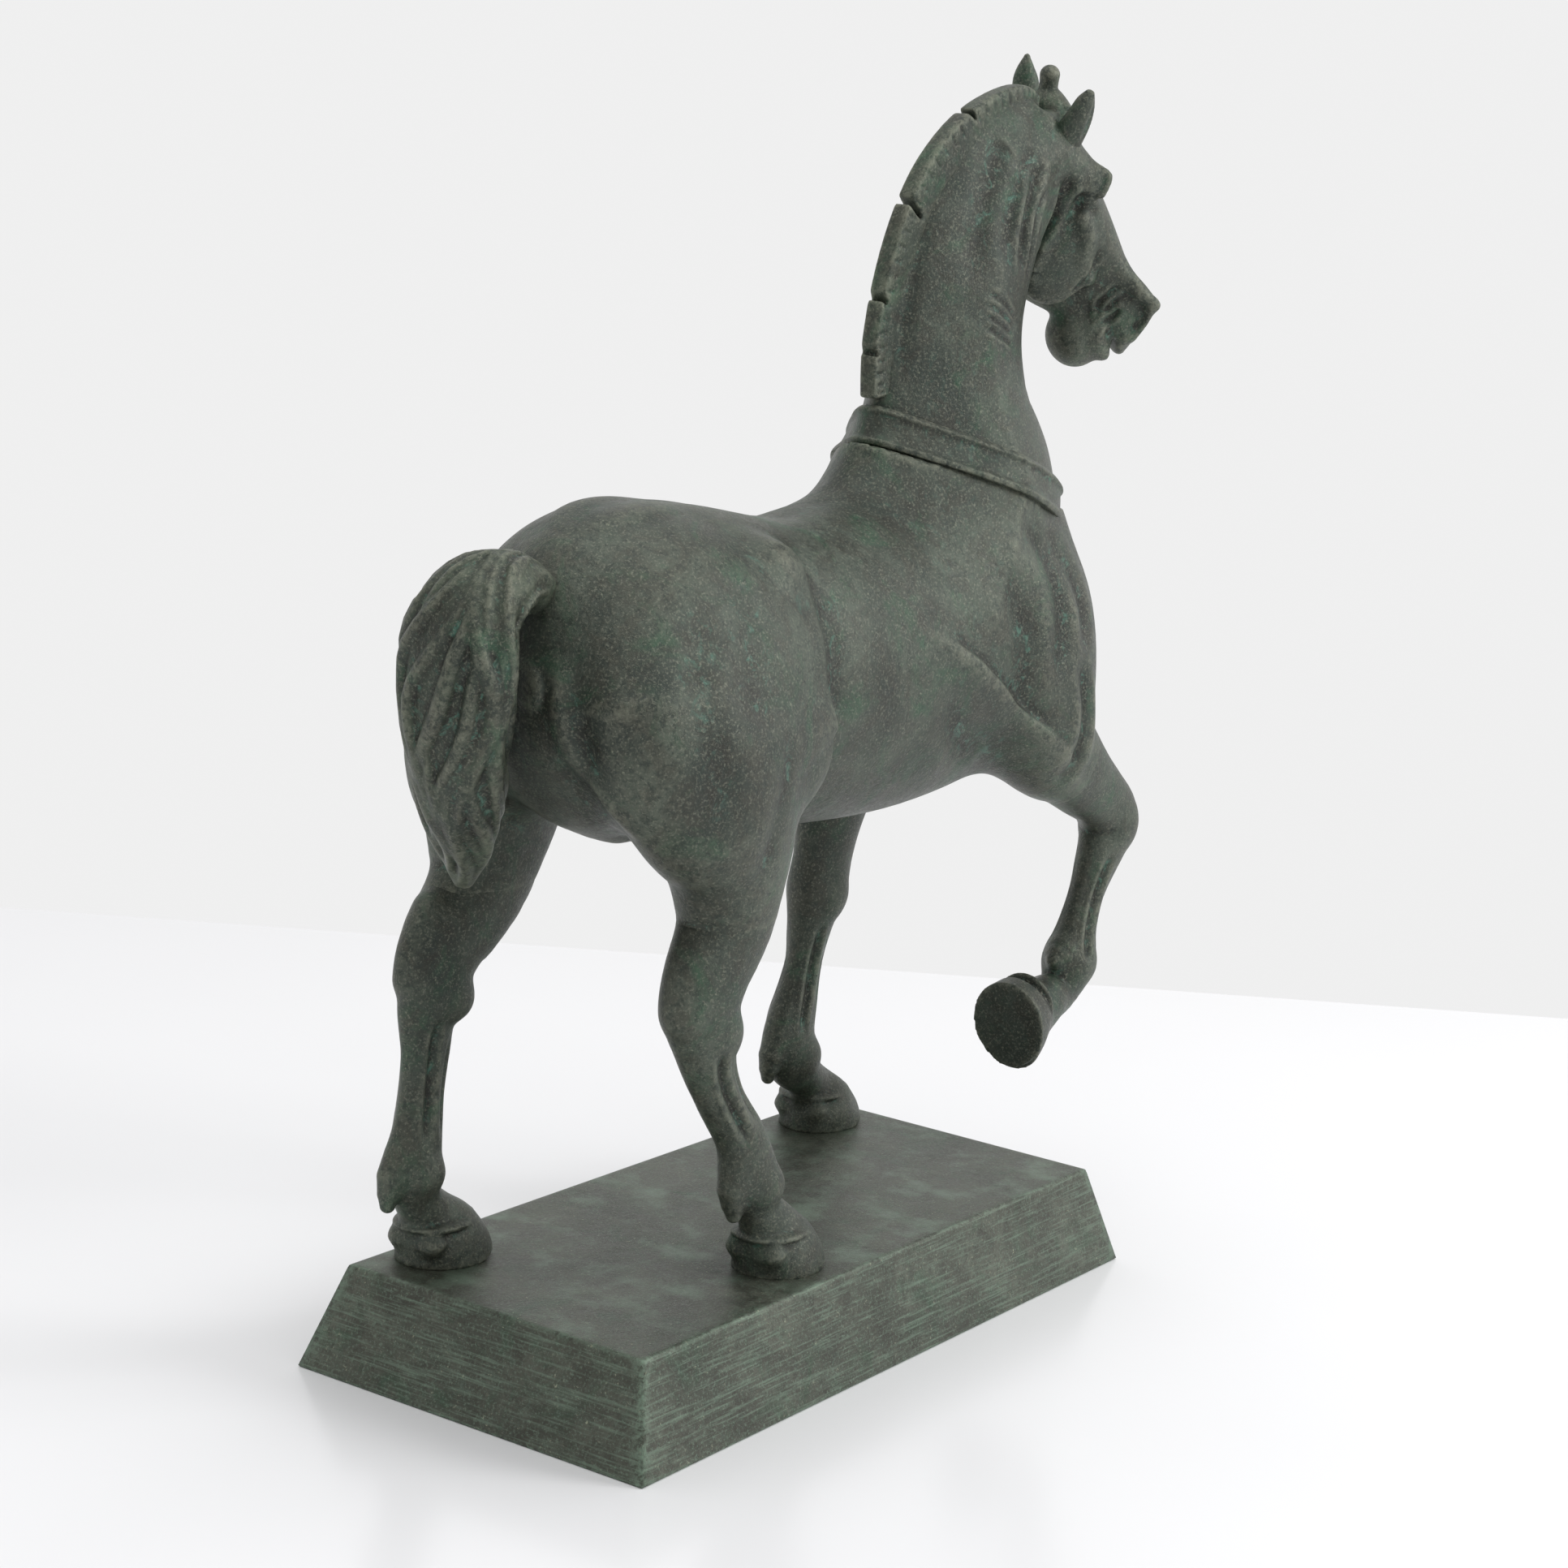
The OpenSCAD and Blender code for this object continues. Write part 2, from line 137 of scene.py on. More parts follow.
def along(axes: list[np.ndarray], direction: np.ndarray, start: np.ndarray) -> np.ndarray:
    """How far each point of a block lies along a direction from a start.

    Args:
        axes: the block's coordinates along x, y and z.
        direction: the direction, at length one.
        start: the point that is measured from.

    Returns:
        A block of lengths.
    """
    x, y, z = ((axis - s) * d for axis, s, d in zip(axes, start, direction))
    return (x[:, None, None] + y[None, :, None] + z[None, None, :]).astype(np.float32)


def shell(parts: list[tuple[np.ndarray, object]], square: int = 2) -> np.ndarray:
    """The distance to a rounded solid from offsets and half sizes along its axes.

    Args:
        parts: each axis's offset and half size.
        square: 2 for an ellipsoid, more for squarer corners.

    Returns:
        The signed distance, close to true near the surface.
    """
    scaled = [(np.abs(u) / s, s) for u, s in parts]
    r = (sum(q**square for q, _ in scaled) + 1e-6) ** (1 / square)
    slope = np.sqrt(sum((q ** (square - 1) / s) ** 2 for q, s in scaled) + 1e-9)
    return (r - 1) * r ** (square - 1) / slope


@dataclass(frozen=True)
class Limb(Form):
    """A form of oval sections along a line of stations.

    Each station is its centre, then its half width across, half depth ahead and half depth behind.
    """

    line: tuple[Station, ...]
    left: Point = LEFTWARD
    pinch: float = 0.0
    cap: float = 3.0
    square: int = 2

    def span(self) -> tuple[np.ndarray, np.ndarray]:
        """The lowest and highest corner of the limb."""
        rows = np.asarray(self.line, float)
        half = rows[:, 3:].max(axis=1, keepdims=True)
        return (rows[:, :3] - half).min(axis=0), (rows[:, :3] + half).max(axis=0)

    def frames(self) -> list[tuple[np.ndarray, np.ndarray, np.ndarray, np.ndarray]]:
        """Sets close stations along the line.

        Returns:
            Each station, with its heading, its left and its front.
        """
        rows = smooth_line(self.line, 2)
        left = np.asarray(self.left, float)
        made = []
        for i, row in enumerate(rows):
            heading = unit(rows[min(i + 1, len(rows) - 1)][:3] - rows[max(i - 1, 0)][:3])
            side = unit(left - heading * (heading @ left))
            made.append((row, heading, side, np.cross(side, heading)))
        return made

    def fill(self, axes: list[np.ndarray], out: np.ndarray, reach: float) -> None:
        """Lowers out to the distances of the slabs between the stations.

        Args:
            axes: the block's coordinates along x, y and z.
            out: the block of distances, changed in place.
            reach: how far from the limb its distances matter.
        """
        frames = self.frames()
        for i, ((a, ta, sa, fa), (b, tb, sb, fb)) in enumerate(zip(frames[:-1], frames[1:])):
            first, last = i == 0, i == len(frames) - 2
            radius = max(a[3:].max(), b[3:].max()) + reach
            half = radius * np.sqrt(1 - np.minimum(ta**2, tb**2) * 0.98) + 1 + (first or last) * (reach + self.cap)
            part = window(axes, np.minimum(a[:3], b[:3]) - half, np.maximum(a[:3], b[:3]) + half)
            local = [axis[s] for axis, s in zip(axes, part)]
            if min(len(axis) for axis in local) == 0:
                continue
            da, db = along(local, ta, a[:3]), along(local, tb, b[:3])
            f = np.clip(da / np.maximum(da - db, 1e-6), 0, 1)
            u = (1 - f) * along(local, sa, a[:3]) + f * along(local, sb, b[:3])
            v = (1 - f) * along(local, fa, a[:3]) + f * along(local, fb, b[:3])
            deep = np.where(v > 0, a[4] + (b[4] - a[4]) * f, a[5] + (b[5] - a[5]) * f)
            wide = a[3] + (b[3] - a[3]) * f
            if self.pinch:
                wide = wide * (1 - self.pinch * np.clip(-v / deep, 0, 1))
            beyond = np.zeros_like(da)
            if first:
                beyond = np.minimum(da, 0)
                f = np.where(da < 0, 0, f)
            if last:
                beyond = np.where(db > 0, db, beyond)
            away = shell([(u, wide), (v, deep), (beyond, self.cap)], self.square)
            outside = ((da < 0) & (not first)) | ((db > 0) & (not last))
            away = np.where(outside, Clay.EMPTY, away)
            np.minimum(out[part], away, out=out[part])


@dataclass(frozen=True)
class Lump(Form):
    """An ellipsoid, lying along its own three axes."""

    at: Point
    half: Point
    axes_of: tuple[Point, Point, Point] = ((1, 0, 0), (0, 1, 0), (0, 0, 1))

    def span(self) -> tuple[np.ndarray, np.ndarray]:
        """The lowest and highest corner of the lump."""
        reach = np.abs(np.asarray(self.axes_of, float).T * np.asarray(self.half)).sum(axis=1)
        return np.asarray(self.at) - reach, np.asarray(self.at) + reach

    def fill(self, axes: list[np.ndarray], out: np.ndarray, reach: float) -> None:
        """Lowers out to the lump's distances.

        Args:
            axes: the block's coordinates along x, y and z.
            out: the block of distances, changed in place.
            reach: how far from the lump its distances matter; not used here.
        """
        at = np.asarray(self.at, float)
        parts = [(along(axes, unit(d), at), s) for d, s in zip(self.axes_of, self.half)]
        np.minimum(out, shell(parts), out=out)


@dataclass(frozen=True)
class Rope(Form):
    """A round form along a line of points, each with its own radius."""

    line: tuple[tuple[float, float, float, float], ...]
    fine: int = 2

    def span(self) -> tuple[np.ndarray, np.ndarray]:
        """The lowest and highest corner of the rope."""
        rows = np.asarray(self.line, float)
        return (rows[:, :3] - rows[:, 3:]).min(axis=0), (rows[:, :3] + rows[:, 3:]).max(axis=0)

    def fill(self, axes: list[np.ndarray], out: np.ndarray, reach: float) -> None:
        """Lowers out to the distances of each length of the rope.

        Args:
            axes: the block's coordinates along x, y and z.
            out: the block of distances, changed in place.
            reach: how far from the rope its distances matter.
        """
        rows = smooth_line(self.line, self.fine)
        for a, b in zip(rows[:-1], rows[1:]):
            step = b[:3] - a[:3]
            length = np.linalg.norm(step)
            half = max(a[3], b[3]) + reach
            part = window(axes, np.minimum(a[:3], b[:3]) - half, np.maximum(a[:3], b[:3]) + half)
            local = [axis[s] for axis, s in zip(axes, part)]
            if min(len(axis) for axis in local) == 0:
                continue
            f = np.clip(along(local, step / length, a[:3]) / length, 0, 1)
            gaps = [
                (axis - s).astype(np.float32).reshape([-1 if i == j else 1 for j in range(3)]) - f * np.float32(d)
                for i, (axis, s, d) in enumerate(zip(local, a[:3], step))
            ]
            away = np.sqrt(sum(g * g for g in gaps)) - (a[3] + (b[3] - a[3]) * f)
            np.minimum(out[part], away, out=out[part])


class Clay:
    """A block of signed distances that forms are added to and cut from."""

    EMPTY = 99.0
    PAST_JOINT = 5.0
    SUNK = 1.4

    def __init__(self, low: Point, high: Point, step: float, reach: float = 12.0) -> None:
        """Sets up an empty block.

        Args:
            low: its lowest corner.
            high: its highest corner.
            step: the spacing of its points.
            reach: how far from a form its distances matter.
        """
        self.low, self.step, self.reach = np.asarray(low, float), step, reach
        self.axes = [np.arange(a, b + step, step) for a, b in zip(low, high)]
        self.field = np.full([len(axis) for axis in self.axes], self.EMPTY, np.float32)

    def _distances(self, form: Form) -> tuple[tuple[slice, ...], np.ndarray]:
        """Measures the distances to one form.

        Args:
            form: the form.

        Returns:
            The part of the block that it reaches, and the distances there.
        """
        low, high = form.span()
        part = window(self.axes, low - self.reach, high + self.reach)
        local = [axis[s] for axis, s in zip(self.axes, part)]
        out = np.full([len(axis) for axis in local], self.EMPTY, np.float32)
        if out.size:
            form.fill(local, out, self.reach)
        return part, out

    def add(self, *forms: Form, blend: float = 0.0) -> "Clay":
        """Adds forms.

        Args:
            forms: what is added, in order.
            blend: the width over which each melts into what is there.

        Returns:
            The clay.
        """
        for form in forms:
            part, new = self._distances(form)
            old = self.field[part]
            melt = np.maximum(blend - np.abs(old - new), 0) ** 2 / (4 * blend) if blend else 0
            self.field[part] = np.minimum(old, new) - melt
        return self

    def cut(self, *forms: Form, blend: float = 0.0) -> "Clay":
        """Cuts forms away.

        Args:
            forms: what is cut, in order.
            blend: the width over which the edges are rounded.

        Returns:
            The clay.
        """
        for form in forms:
            part, new = self._distances(form)
            old, new = self.field[part], -new
            melt = np.maximum(blend - np.abs(old - new), 0) ** 2 / (4 * blend) if blend else 0
            self.field[part] = np.maximum(old, new) + melt
        return self

    def keep(self, point: Point, facing: Point) -> "Clay":
        """Keeps only what lies on the side of a plane that it faces."""
        np.maximum(self.field, -along(self.axes, unit(facing), np.asarray(point, float)), out=self.field)
        return self

    def sink(self, at: Point, facing: Point, room: tuple[Point, Point] | None = None) -> "Clay":
        """Lets the skin sink under its neighbour's just past a joint, and ends it there.

        Args:
            at: the joint's middle.
            facing: the way from the joint into this casting.
            room: the corners of the region round the joint, or None for the whole block.

        Returns:
            The clay.
        """
        part = window(self.axes, *(np.asarray(c, float) for c in room)) if room else (slice(None),) * 3
        local = [axis[s] for axis, s in zip(self.axes, part)]
        past = -along(local, unit(facing), np.asarray(at, float))
        sunk = self.field[part] + self.SUNK * np.clip(past / self.PAST_JOINT, 0, 1)
        self.field[part] = np.maximum(sunk, past - self.PAST_JOINT)
        return self

    def skin(self, relax: int = 2) -> "Skin":
        """Draws the surface of the clay.

        Args:
            relax: how many times the surface is evened out.

        Returns:
            The skin.
        """
        grid = vdb.FloatGrid(background=3.0)
        grid.copyFromArray(np.minimum(self.field, 3.0 * self.step), ijk=(0, 0, 0), tolerance=0.0)
        points, quads = grid.convertToQuads(0.0)
        skin = Skin(np.asarray(points, float) * self.step + self.low, np.asarray(quads, np.int64))
        return skin.relax(relax)


# ---------------------------------------------------------------- skins and strokes


@dataclass(frozen=True)
class Stroke:
    """A chased line: a groove where depth is positive, a ridge where it is negative."""

    path: tuple[Point, ...]
    width: float
    depth: float
    lip: float = 0.0
    fade: float = 0.3

    def mirrored(self) -> "Stroke":
        """The same stroke on the other side of the horse."""
        return replace(self, path=tuple((x, -y, z) for x, y, z in self.path))


class Skin:
    """A quad mesh in modelling millimetres."""

    FINE = 8

    def __init__(self, points: np.ndarray, quads: np.ndarray) -> None:
        """Keeps the vertices and faces, turned so that the faces look outwards.

        Args:
            points: the vertices.
            quads: four vertices for each face.
        """
        self.points, self.quads = points, quads
        self.groove_shade_and_patina = np.zeros(len(points))
        if self._volume() < 0:
            self.quads = self.quads[:, ::-1]

    def _volume(self) -> float:
        """Six times the enclosed volume, below nought when the faces look inwards."""
        a, b, c, d = (self.points[self.quads[:, i]] for i in range(4))
        near = np.einsum("ij,ij->i", a, np.cross(b, c)).sum()
        far = np.einsum("ij,ij->i", a, np.cross(c, d)).sum()
        return float(near + far)

    def _gather(self, values: np.ndarray) -> np.ndarray:
        """Takes the mean of each vertex's neighbours.

        Args:
            values: a row of values for each vertex.

        Returns:
            The means, in the same order.
        """
        at, other = self.quads.ravel(), np.roll(self.quads, -1, axis=1).ravel()
        count = np.maximum(np.bincount(at, minlength=len(values)), 1)
        columns = [
            np.bincount(at, weights=values[other, i], minlength=len(values)) for i in range(values.shape[1])
        ]
        return np.stack(columns, axis=1) / count[:, None]

    def relax(self, times: int) -> "Skin":
        """Evens the surface out without shrinking it.

        Args:
            times: how often.

        Returns:
            The skin.
        """
        for _ in range(times):
            for share in (0.5, -0.52):
                self.points = self.points + share * (self._gather(self.points) - self.points)
        return self

    def normals(self) -> np.ndarray:
        """The outward direction at each vertex.

        Returns:
            One direction a vertex, at length one.
        """
        a, b, c, d = (self.points[self.quads[:, i]] for i in range(4))
        face = np.cross(c - a, d - b)
        total = np.zeros_like(self.points)
        for i in range(3):
            total[:, i] = np.bincount(
                self.quads.ravel(), weights=np.repeat(face[:, i], 4), minlength=len(self.points)
            )
        return total / np.maximum(np.linalg.norm(total, axis=1, keepdims=True), 1e-12)

    def _on_surface(self, path: np.ndarray, normals: np.ndarray) -> tuple[np.ndarray, np.ndarray]:
        """Drops the points of a path on to the skin.

        Args:
            path: the points.
            normals: the outward direction at each vertex.

        Returns:
            The dropped points, and the outward direction at each.
        """
        near = np.array([np.argmin(((self.points - p) ** 2).sum(axis=1)) for p in path])
        n = normals[near]
        dropped = path - n * ((path - self.points[near]) * n).sum(axis=1, keepdims=True)
        return dropped, n

    def _press(self, stroke: Stroke, normals: np.ndarray) -> tuple[np.ndarray, np.ndarray]:
        """Works out how deep one stroke presses.

        Args:
            stroke: the stroke.
            normals: the outward direction at each vertex.

        Returns:
            The vertices that it reaches, and how deep each is pressed.
        """
        path, facing = self._on_surface(smooth_line(stroke.path, 2), normals)
        far = stroke.width * (4.5 if stroke.lip else 2.5)
        inside = np.all((self.points > path.min(axis=0) - far) & (self.points < path.max(axis=0) + far), axis=1)
        chosen = np.nonzero(inside)[0]
        here = self.points[chosen]
        best = np.full(len(chosen), 1e9)
        share = np.zeros(len(chosen))
        agree = np.zeros(len(chosen))
        count = len(path) - 1
        for i in range(count):
            step = path[i + 1] - path[i]
            f = np.clip((here - path[i]) @ step / max(step @ step, 1e-9), 0, 1)
            away = ((here - path[i] - f[:, None] * step) ** 2).sum(axis=1)
            closer = away < best
            best = np.where(closer, away, best)
            share = np.where(closer, (i + f) / count, share)
            agree = np.where(closer, normals[chosen] @ facing[i], agree)
        reach = np.sqrt(best) / stroke.width
        shape = np.exp(-(reach**2)) - stroke.lip * np.exp(-((reach - 2.0) ** 2) * 1.5)
        ends = np.clip(np.minimum(share, 1 - share) / max(stroke.fade, 1e-3), 0, 1)
        ends = ends * ends * (3 - 2 * ends)
        return chosen, stroke.depth * shape * ends * np.clip(agree * 3, 0, 1)

    def chase(self, strokes: list[Stroke]) -> "Skin":
        """Presses strokes into the surface, and marks their grooves for painted shade and green patina.

        Args:
            strokes: the strokes, all pressed into the surface as it was.

        Returns:
            The skin.
        """
        normals = self.normals()
        push = np.zeros(len(self.points))
        for stroke in strokes:
            chosen, amount = self._press(stroke, normals)
            push[chosen] -= amount
            # Each groove's depth is kept so that the finish darkens it with painted shade and greens it with patina.
            self.groove_shade_and_patina[chosen] += np.maximum(amount, 0)
        self.points = self.points + normals * push[:, None]
        return self

    def relief(self, broad: int = 60) -> np.ndarray:
        """How far each vertex stands above its calmed surroundings, from -1 in a hollow to 1 on a ridge.

        Args:
            broad: how many rounds of calming show the large forms; the first few show the small ones.

        Returns:
            One value a vertex.
        """
        calm, normals = self.points, self.normals()
        height = np.zeros(len(self.points))
        for turn in range(broad):
            calm = calm + 0.7 * (self._gather(calm) - calm)
            if turn + 1 == min(self.FINE, broad):
                height += np.clip(((self.points - calm) * normals).sum(axis=1) / 0.3, -1, 1) * 0.6
        # The broad forms read here let the finish darken broad hollows with painted shade and lighten bulges with a
        # painted highlight.
        height += np.clip(((self.points - calm) * normals).sum(axis=1) / 1.2, -1, 1) * 0.6
        # Chased grooves count as deeper hollows, which the finish darkens with painted shade and greens with patina.
        return np.clip(height - self.groove_shade_and_patina * 0.2, -1, 1)

    def cast(self, name: str, bench: Bench, finish: "Patina", broad: int = 60) -> bpy.types.Object:
        """Makes the skin an object in the part's frame.

        Args:
            name: the piece's name.
            bench: where the modelling millimetres stand.
            finish: the patina that it gets.
            broad: how many rounds of calming its relief is read against.

        Returns:
            The object, shaded smooth, with its relief kept as an attribute.
        """
        mesh = bpy.data.meshes.new(name)
        count = len(self.quads)
        mesh.vertices.add(len(self.points))
        mesh.vertices.foreach_set("co", bench.place(self.points).astype(np.float32).ravel())
        mesh.loops.add(count * 4)
        mesh.loops.foreach_set("vertex_index", self.quads.astype(np.int32).ravel())
        mesh.polygons.add(count)
        mesh.polygons.foreach_set("loop_start", np.arange(0, count * 4, 4, dtype=np.int32))
        mesh.polygons.foreach_set("loop_total", np.full(count, 4, np.int32))
        mesh.polygons.foreach_set("use_smooth", np.ones(count, bool))
        mesh.update(calc_edges=True)
        kept = mesh.attributes.new("relief", "FLOAT", "POINT")
        kept.data.foreach_set("value", self.relief(broad).astype(np.float32))
        mesh.materials.append(finish.material())
        piece = bpy.data.objects.new(name, mesh)
        bpy.context.scene.collection.objects.link(piece)
        LOG.info("%s: %d vertices, %d quads", name, len(self.points), count)
        return piece


# ---------------------------------------------------------------- finishes


MADE: dict[str, bpy.types.Material] = {}


class Recipe:
    """A material's nodes, added from left to right."""

    def __init__(self, name: str) -> None:
        """Starts an empty material.

        Args:
            name: what the finish is called.
        """
        self.made = bpy.data.materials.new(name + "_finish")
        self.made.use_nodes = True
        self.tree = self.made.node_tree
        self.tree.nodes.clear()
        self.where = self.add("ShaderNodeTexCoord").outputs["Object"]

    def add(self, kind: str, inputs: dict[object, object] | None = None, **settings: object) -> bpy.types.Node:
        """Adds a node.

        Args:
            kind: the node's type.
            inputs: what each input takes, a socket to link or a value to set.
            settings: the node's own settings.

        Returns:
            The node.
        """
        node = self.tree.nodes.new(kind)
        for key, value in settings.items():
            setattr(node, key, value)
        for key, value in (inputs or {}).items():
            if isinstance(value, bpy.types.NodeSocket):
                self.tree.links.new(value, node.inputs[key])
            else:
                node.inputs[key].default_value = value
        return node

    def noise(
        self, scale: float, detail: float = 4.0, rough: float = 0.55, twist: float = 0.0,
        stretch: Point | None = None,
    ) -> bpy.types.NodeSocket:
        """Makes cloudy noise.

        Args:
            scale: features per metre.
            detail: how many finer layers it has.
            rough: how strong those are.
            twist: how far it is warped.
            stretch: a scale for each axis, or None for even noise.

        Returns:
            The noise, about 0.5.
        """
        where = self.where
        if stretch:
            where = self.add("ShaderNodeMapping", {"Vector": where, "Scale": stretch}).outputs["Vector"]
        inputs = {"Vector": where, "Scale": scale, "Detail": detail, "Roughness": rough, "Distortion": twist}
        return self.add("ShaderNodeTexNoise", inputs).outputs["Fac"]

    def ramp(
        self, value: bpy.types.NodeSocket, low: float, high: float, a: float = 0.0, b: float = 1.0
    ) -> bpy.types.NodeSocket:
        """The value between low and high, spread from a to b."""
        inputs = {"Value": value, "From Min": low, "From Max": high, "To Min": a, "To Max": b}
        return self.add("ShaderNodeMapRange", inputs, clamp=True).outputs["Result"]

    def times(self, a: bpy.types.NodeSocket, b: object) -> bpy.types.NodeSocket:
        """One value times another."""
        return self.add("ShaderNodeMath", {0: a, 1: b}, operation="MULTIPLY").outputs[0]

    def plus(self, a: bpy.types.NodeSocket, b: object) -> bpy.types.NodeSocket:
        """One value plus another."""
        return self.add("ShaderNodeMath", {0: a, 1: b}, operation="ADD").outputs[0]

    def blend(self, share: bpy.types.NodeSocket, a: object, b: object) -> bpy.types.NodeSocket:
        """One colour or the other, by share."""
        inputs = {0: share, 6: a if isinstance(a, bpy.types.NodeSocket) else (*a, 1), 7: (*b, 1)}
        return self.add("ShaderNodeMix", inputs, data_type="RGBA").outputs[2]

    def close(
        self, colour: object, rough: object, metal: float, bumps: list[tuple[bpy.types.NodeSocket, float]]
    ) -> None:
        """Ends the recipe in a surface.

        Args:
            colour: its colour.
            rough: its roughness.
            metal: how far it is a metal.
            bumps: each a height and its depth in metres.
        """
        normal = None
        for height, depth in bumps:
            inputs = {"Height": height, "Distance": depth, "Strength": 1.0}
            if normal is not None:
                inputs["Normal"] = normal
            normal = self.add("ShaderNodeBump", inputs).outputs["Normal"]
        inputs = {"Base Color": colour, "Roughness": rough, "Metallic": metal}
        if normal is not None:
            inputs["Normal"] = normal
        surface = self.add("ShaderNodeBsdfPrincipled", inputs)
        self.add("ShaderNodeOutputMaterial", {"Surface": surface.outputs[0]})


@dataclass(frozen=True)
class Patina:
    """Aged bronze: a dark skin, green in its hollows, grained all over, with painted shade darkening its hollows and
    pale abrasion plus a painted highlight on its ridges.
    """

    name: str
    dark: Colour = (0.032, 0.042, 0.034)
    mid: Colour = (0.086, 0.104, 0.081)
    brown: Colour = (0.040, 0.036, 0.027)
    green: Colour = (0.030, 0.095, 0.050)
    verdigris: Colour = (0.10, 0.24, 0.18)
    # near-black painted shade for the hollows
    hollow_shade: Colour = (0.014, 0.014, 0.011)
    # pale colour of real abrasion and grain specks, also used as a painted highlight on ridges
    worn_and_highlight: Colour = (0.24, 0.25, 0.19)
    crust: Colour = (0.40, 0.42, 0.30)
    rough: tuple[float, float] = (0.33, 0.56)
    metal: float = 0.4
    greening: float = 0.6
    # how strongly ridges get the pale abrasion and painted highlight
    wear_and_highlight: float = 0.5
    crusting: float = 0.4
    grain: float = 0.00006
    streaks: float = 0.0

    def material(self) -> bpy.types.Material:
        """The finished material, made once.

        Returns:
            The material.
        """
        if self.name in MADE:
            return MADE[self.name]
        r = Recipe(self.name)
        relief = r.add("ShaderNodeAttribute", attribute_name="relief").outputs["Fac"]
        clouds, blots = r.noise(26, 6, 0.62, 0.8), r.noise(85, 8, 0.7, 0.9)
        grit, fine = r.noise(420, 6, 0.75, 0.3), r.noise(1300, 4, 0.7)
        colour = r.blend(r.ramp(clouds, 0.36, 0.62), self.dark, self.mid)
        colour = r.blend(r.times(r.ramp(blots, 0.56, 0.42), 0.55), colour, self.brown)
        tint = r.times(r.ramp(r.noise(48, 7, 0.7, 1.2), 0.53, 0.68), self.greening)
        colour = r.blend(tint, colour, self.green)
        # Painted shade: hollows, broad ones too, are darkened towards near black in place of ambient occlusion.
        hollow = r.ramp(r.plus(relief, r.ramp(blots, 0.3, 0.7, -0.3, 0.3)), -0.05, -0.7)
        colour = r.blend(r.times(hollow, 0.8), colour, self.hollow_shade)
        bloom = r.times(r.ramp(relief, 0.1, -0.3), r.ramp(r.noise(190, 7, 0.75, 1.0), 0.54, 0.66))
        colour = r.blend(r.times(bloom, self.greening), colour, self.verdigris)
        # Ridges and bulges are lightened with a pale colour: a painted highlight, together with real abrasion.
        ridge_wear_and_highlight = r.times(r.ramp(relief, 0.1, 0.9), r.ramp(grit, 0.4, 0.62))
        colour = r.blend(r.times(ridge_wear_and_highlight, self.wear_and_highlight), colour, self.worn_and_highlight)
        colour = r.blend(r.times(r.ramp(grit, 0.5, 0.38), 0.8), colour, self.dark)
        colour = r.blend(r.times(r.ramp(fine, 0.52, 0.68), 0.55), colour, self.worn_and_highlight)
        specks = r.times(r.ramp(r.noise(900, 3, 0.7), 0.62, 0.70), r.ramp(blots, 0.45, 0.62))
        colour = r.blend(r.times(specks, self.crusting), colour, self.crust)
        rough = r.ramp(r.plus(r.times(blots, 0.5), r.times(grit, 0.5)), 0.38, 0.62, *self.rough)
        bumps = [(blots, self.grain * 5), (grit, self.grain * 5), (fine, self.grain * 2.2)]
        if self.streaks:
            brushed = r.noise(1.0, 4, 0.6, stretch=(60, 60, 1500))
            colour = r.blend(r.times(r.ramp(brushed, 0.5, 0.68), self.streaks), colour, self.worn_and_highlight)
            bumps.append((brushed, self.grain * 1.5))
        r.close(colour, rough, self.metal, bumps)
        MADE[self.name] = r.made
        return r.made


@dataclass(frozen=True)
class BareBronze:
    """Plain machined bronze for the pins, studs, washers and nuts."""

    name: str
    colour: Colour = (0.42, 0.30, 0.14)
    tarnish: Colour = (0.16, 0.12, 0.06)

    def material(self) -> bpy.types.Material:
        """The finished material, made once.

        Returns:
            The material.
        """
        if self.name in MADE:
            return MADE[self.name]
        r = Recipe(self.name)
        clouds = r.noise(260, 5, 0.6, 0.3)
        colour = r.blend(r.ramp(clouds, 0.4, 0.65), self.colour, self.tarnish)
        r.close(colour, r.ramp(clouds, 0.3, 0.7, 0.28, 0.5), 1.0, [(r.noise(1800, 3), 0.00004)])
        MADE[self.name] = r.made
        return r.made


@dataclass(frozen=True)
class Tabletop:
    """The pale glossy board that the bronze stands on."""

    name: str = "pale_board"
    colour: Colour = (0.93, 0.93, 0.945)

    def material(self) -> bpy.types.Material:
        """The finished material.

        Returns:
            The material.
        """
        r = Recipe(self.name)
        clouds = r.noise(6, 3)
        colour = r.blend(r.ramp(clouds, 0.3, 0.7), self.colour, tuple(c * 0.985 for c in self.colour))
        r.close(colour, r.ramp(clouds, 0.3, 0.7, 0.16, 0.24), 0.0, [])
        return r.made


class Finish(Enum):
    """The finishes of this bronze."""

    HORSE = Patina("horse_patina")
    HAIR = Patina("hair_patina", mid=(0.08, 0.10, 0.07), greening=0.7, wear_and_highlight=0.7)
    COLLAR = Patina("collar_patina", wear_and_highlight=0.6)
    PLINTH = Patina(
        "plinth_patina", dark=(0.050, 0.056, 0.042), mid=(0.105, 0.113, 0.088), worn_and_highlight=(0.19, 0.27, 0.20), wear_and_highlight=0.9,
        greening=0.4, crusting=0.9, rough=(0.34, 0.5), grain=0.00004, streaks=0.5,
    )
    PINS = BareBronze("pin_bronze", colour=(0.20, 0.16, 0.09), tarnish=(0.07, 0.08, 0.05))
    STUDS = BareBronze("stud_bronze", colour=(0.50, 0.37, 0.18))


# ---------------------------------------------------------------- the castings


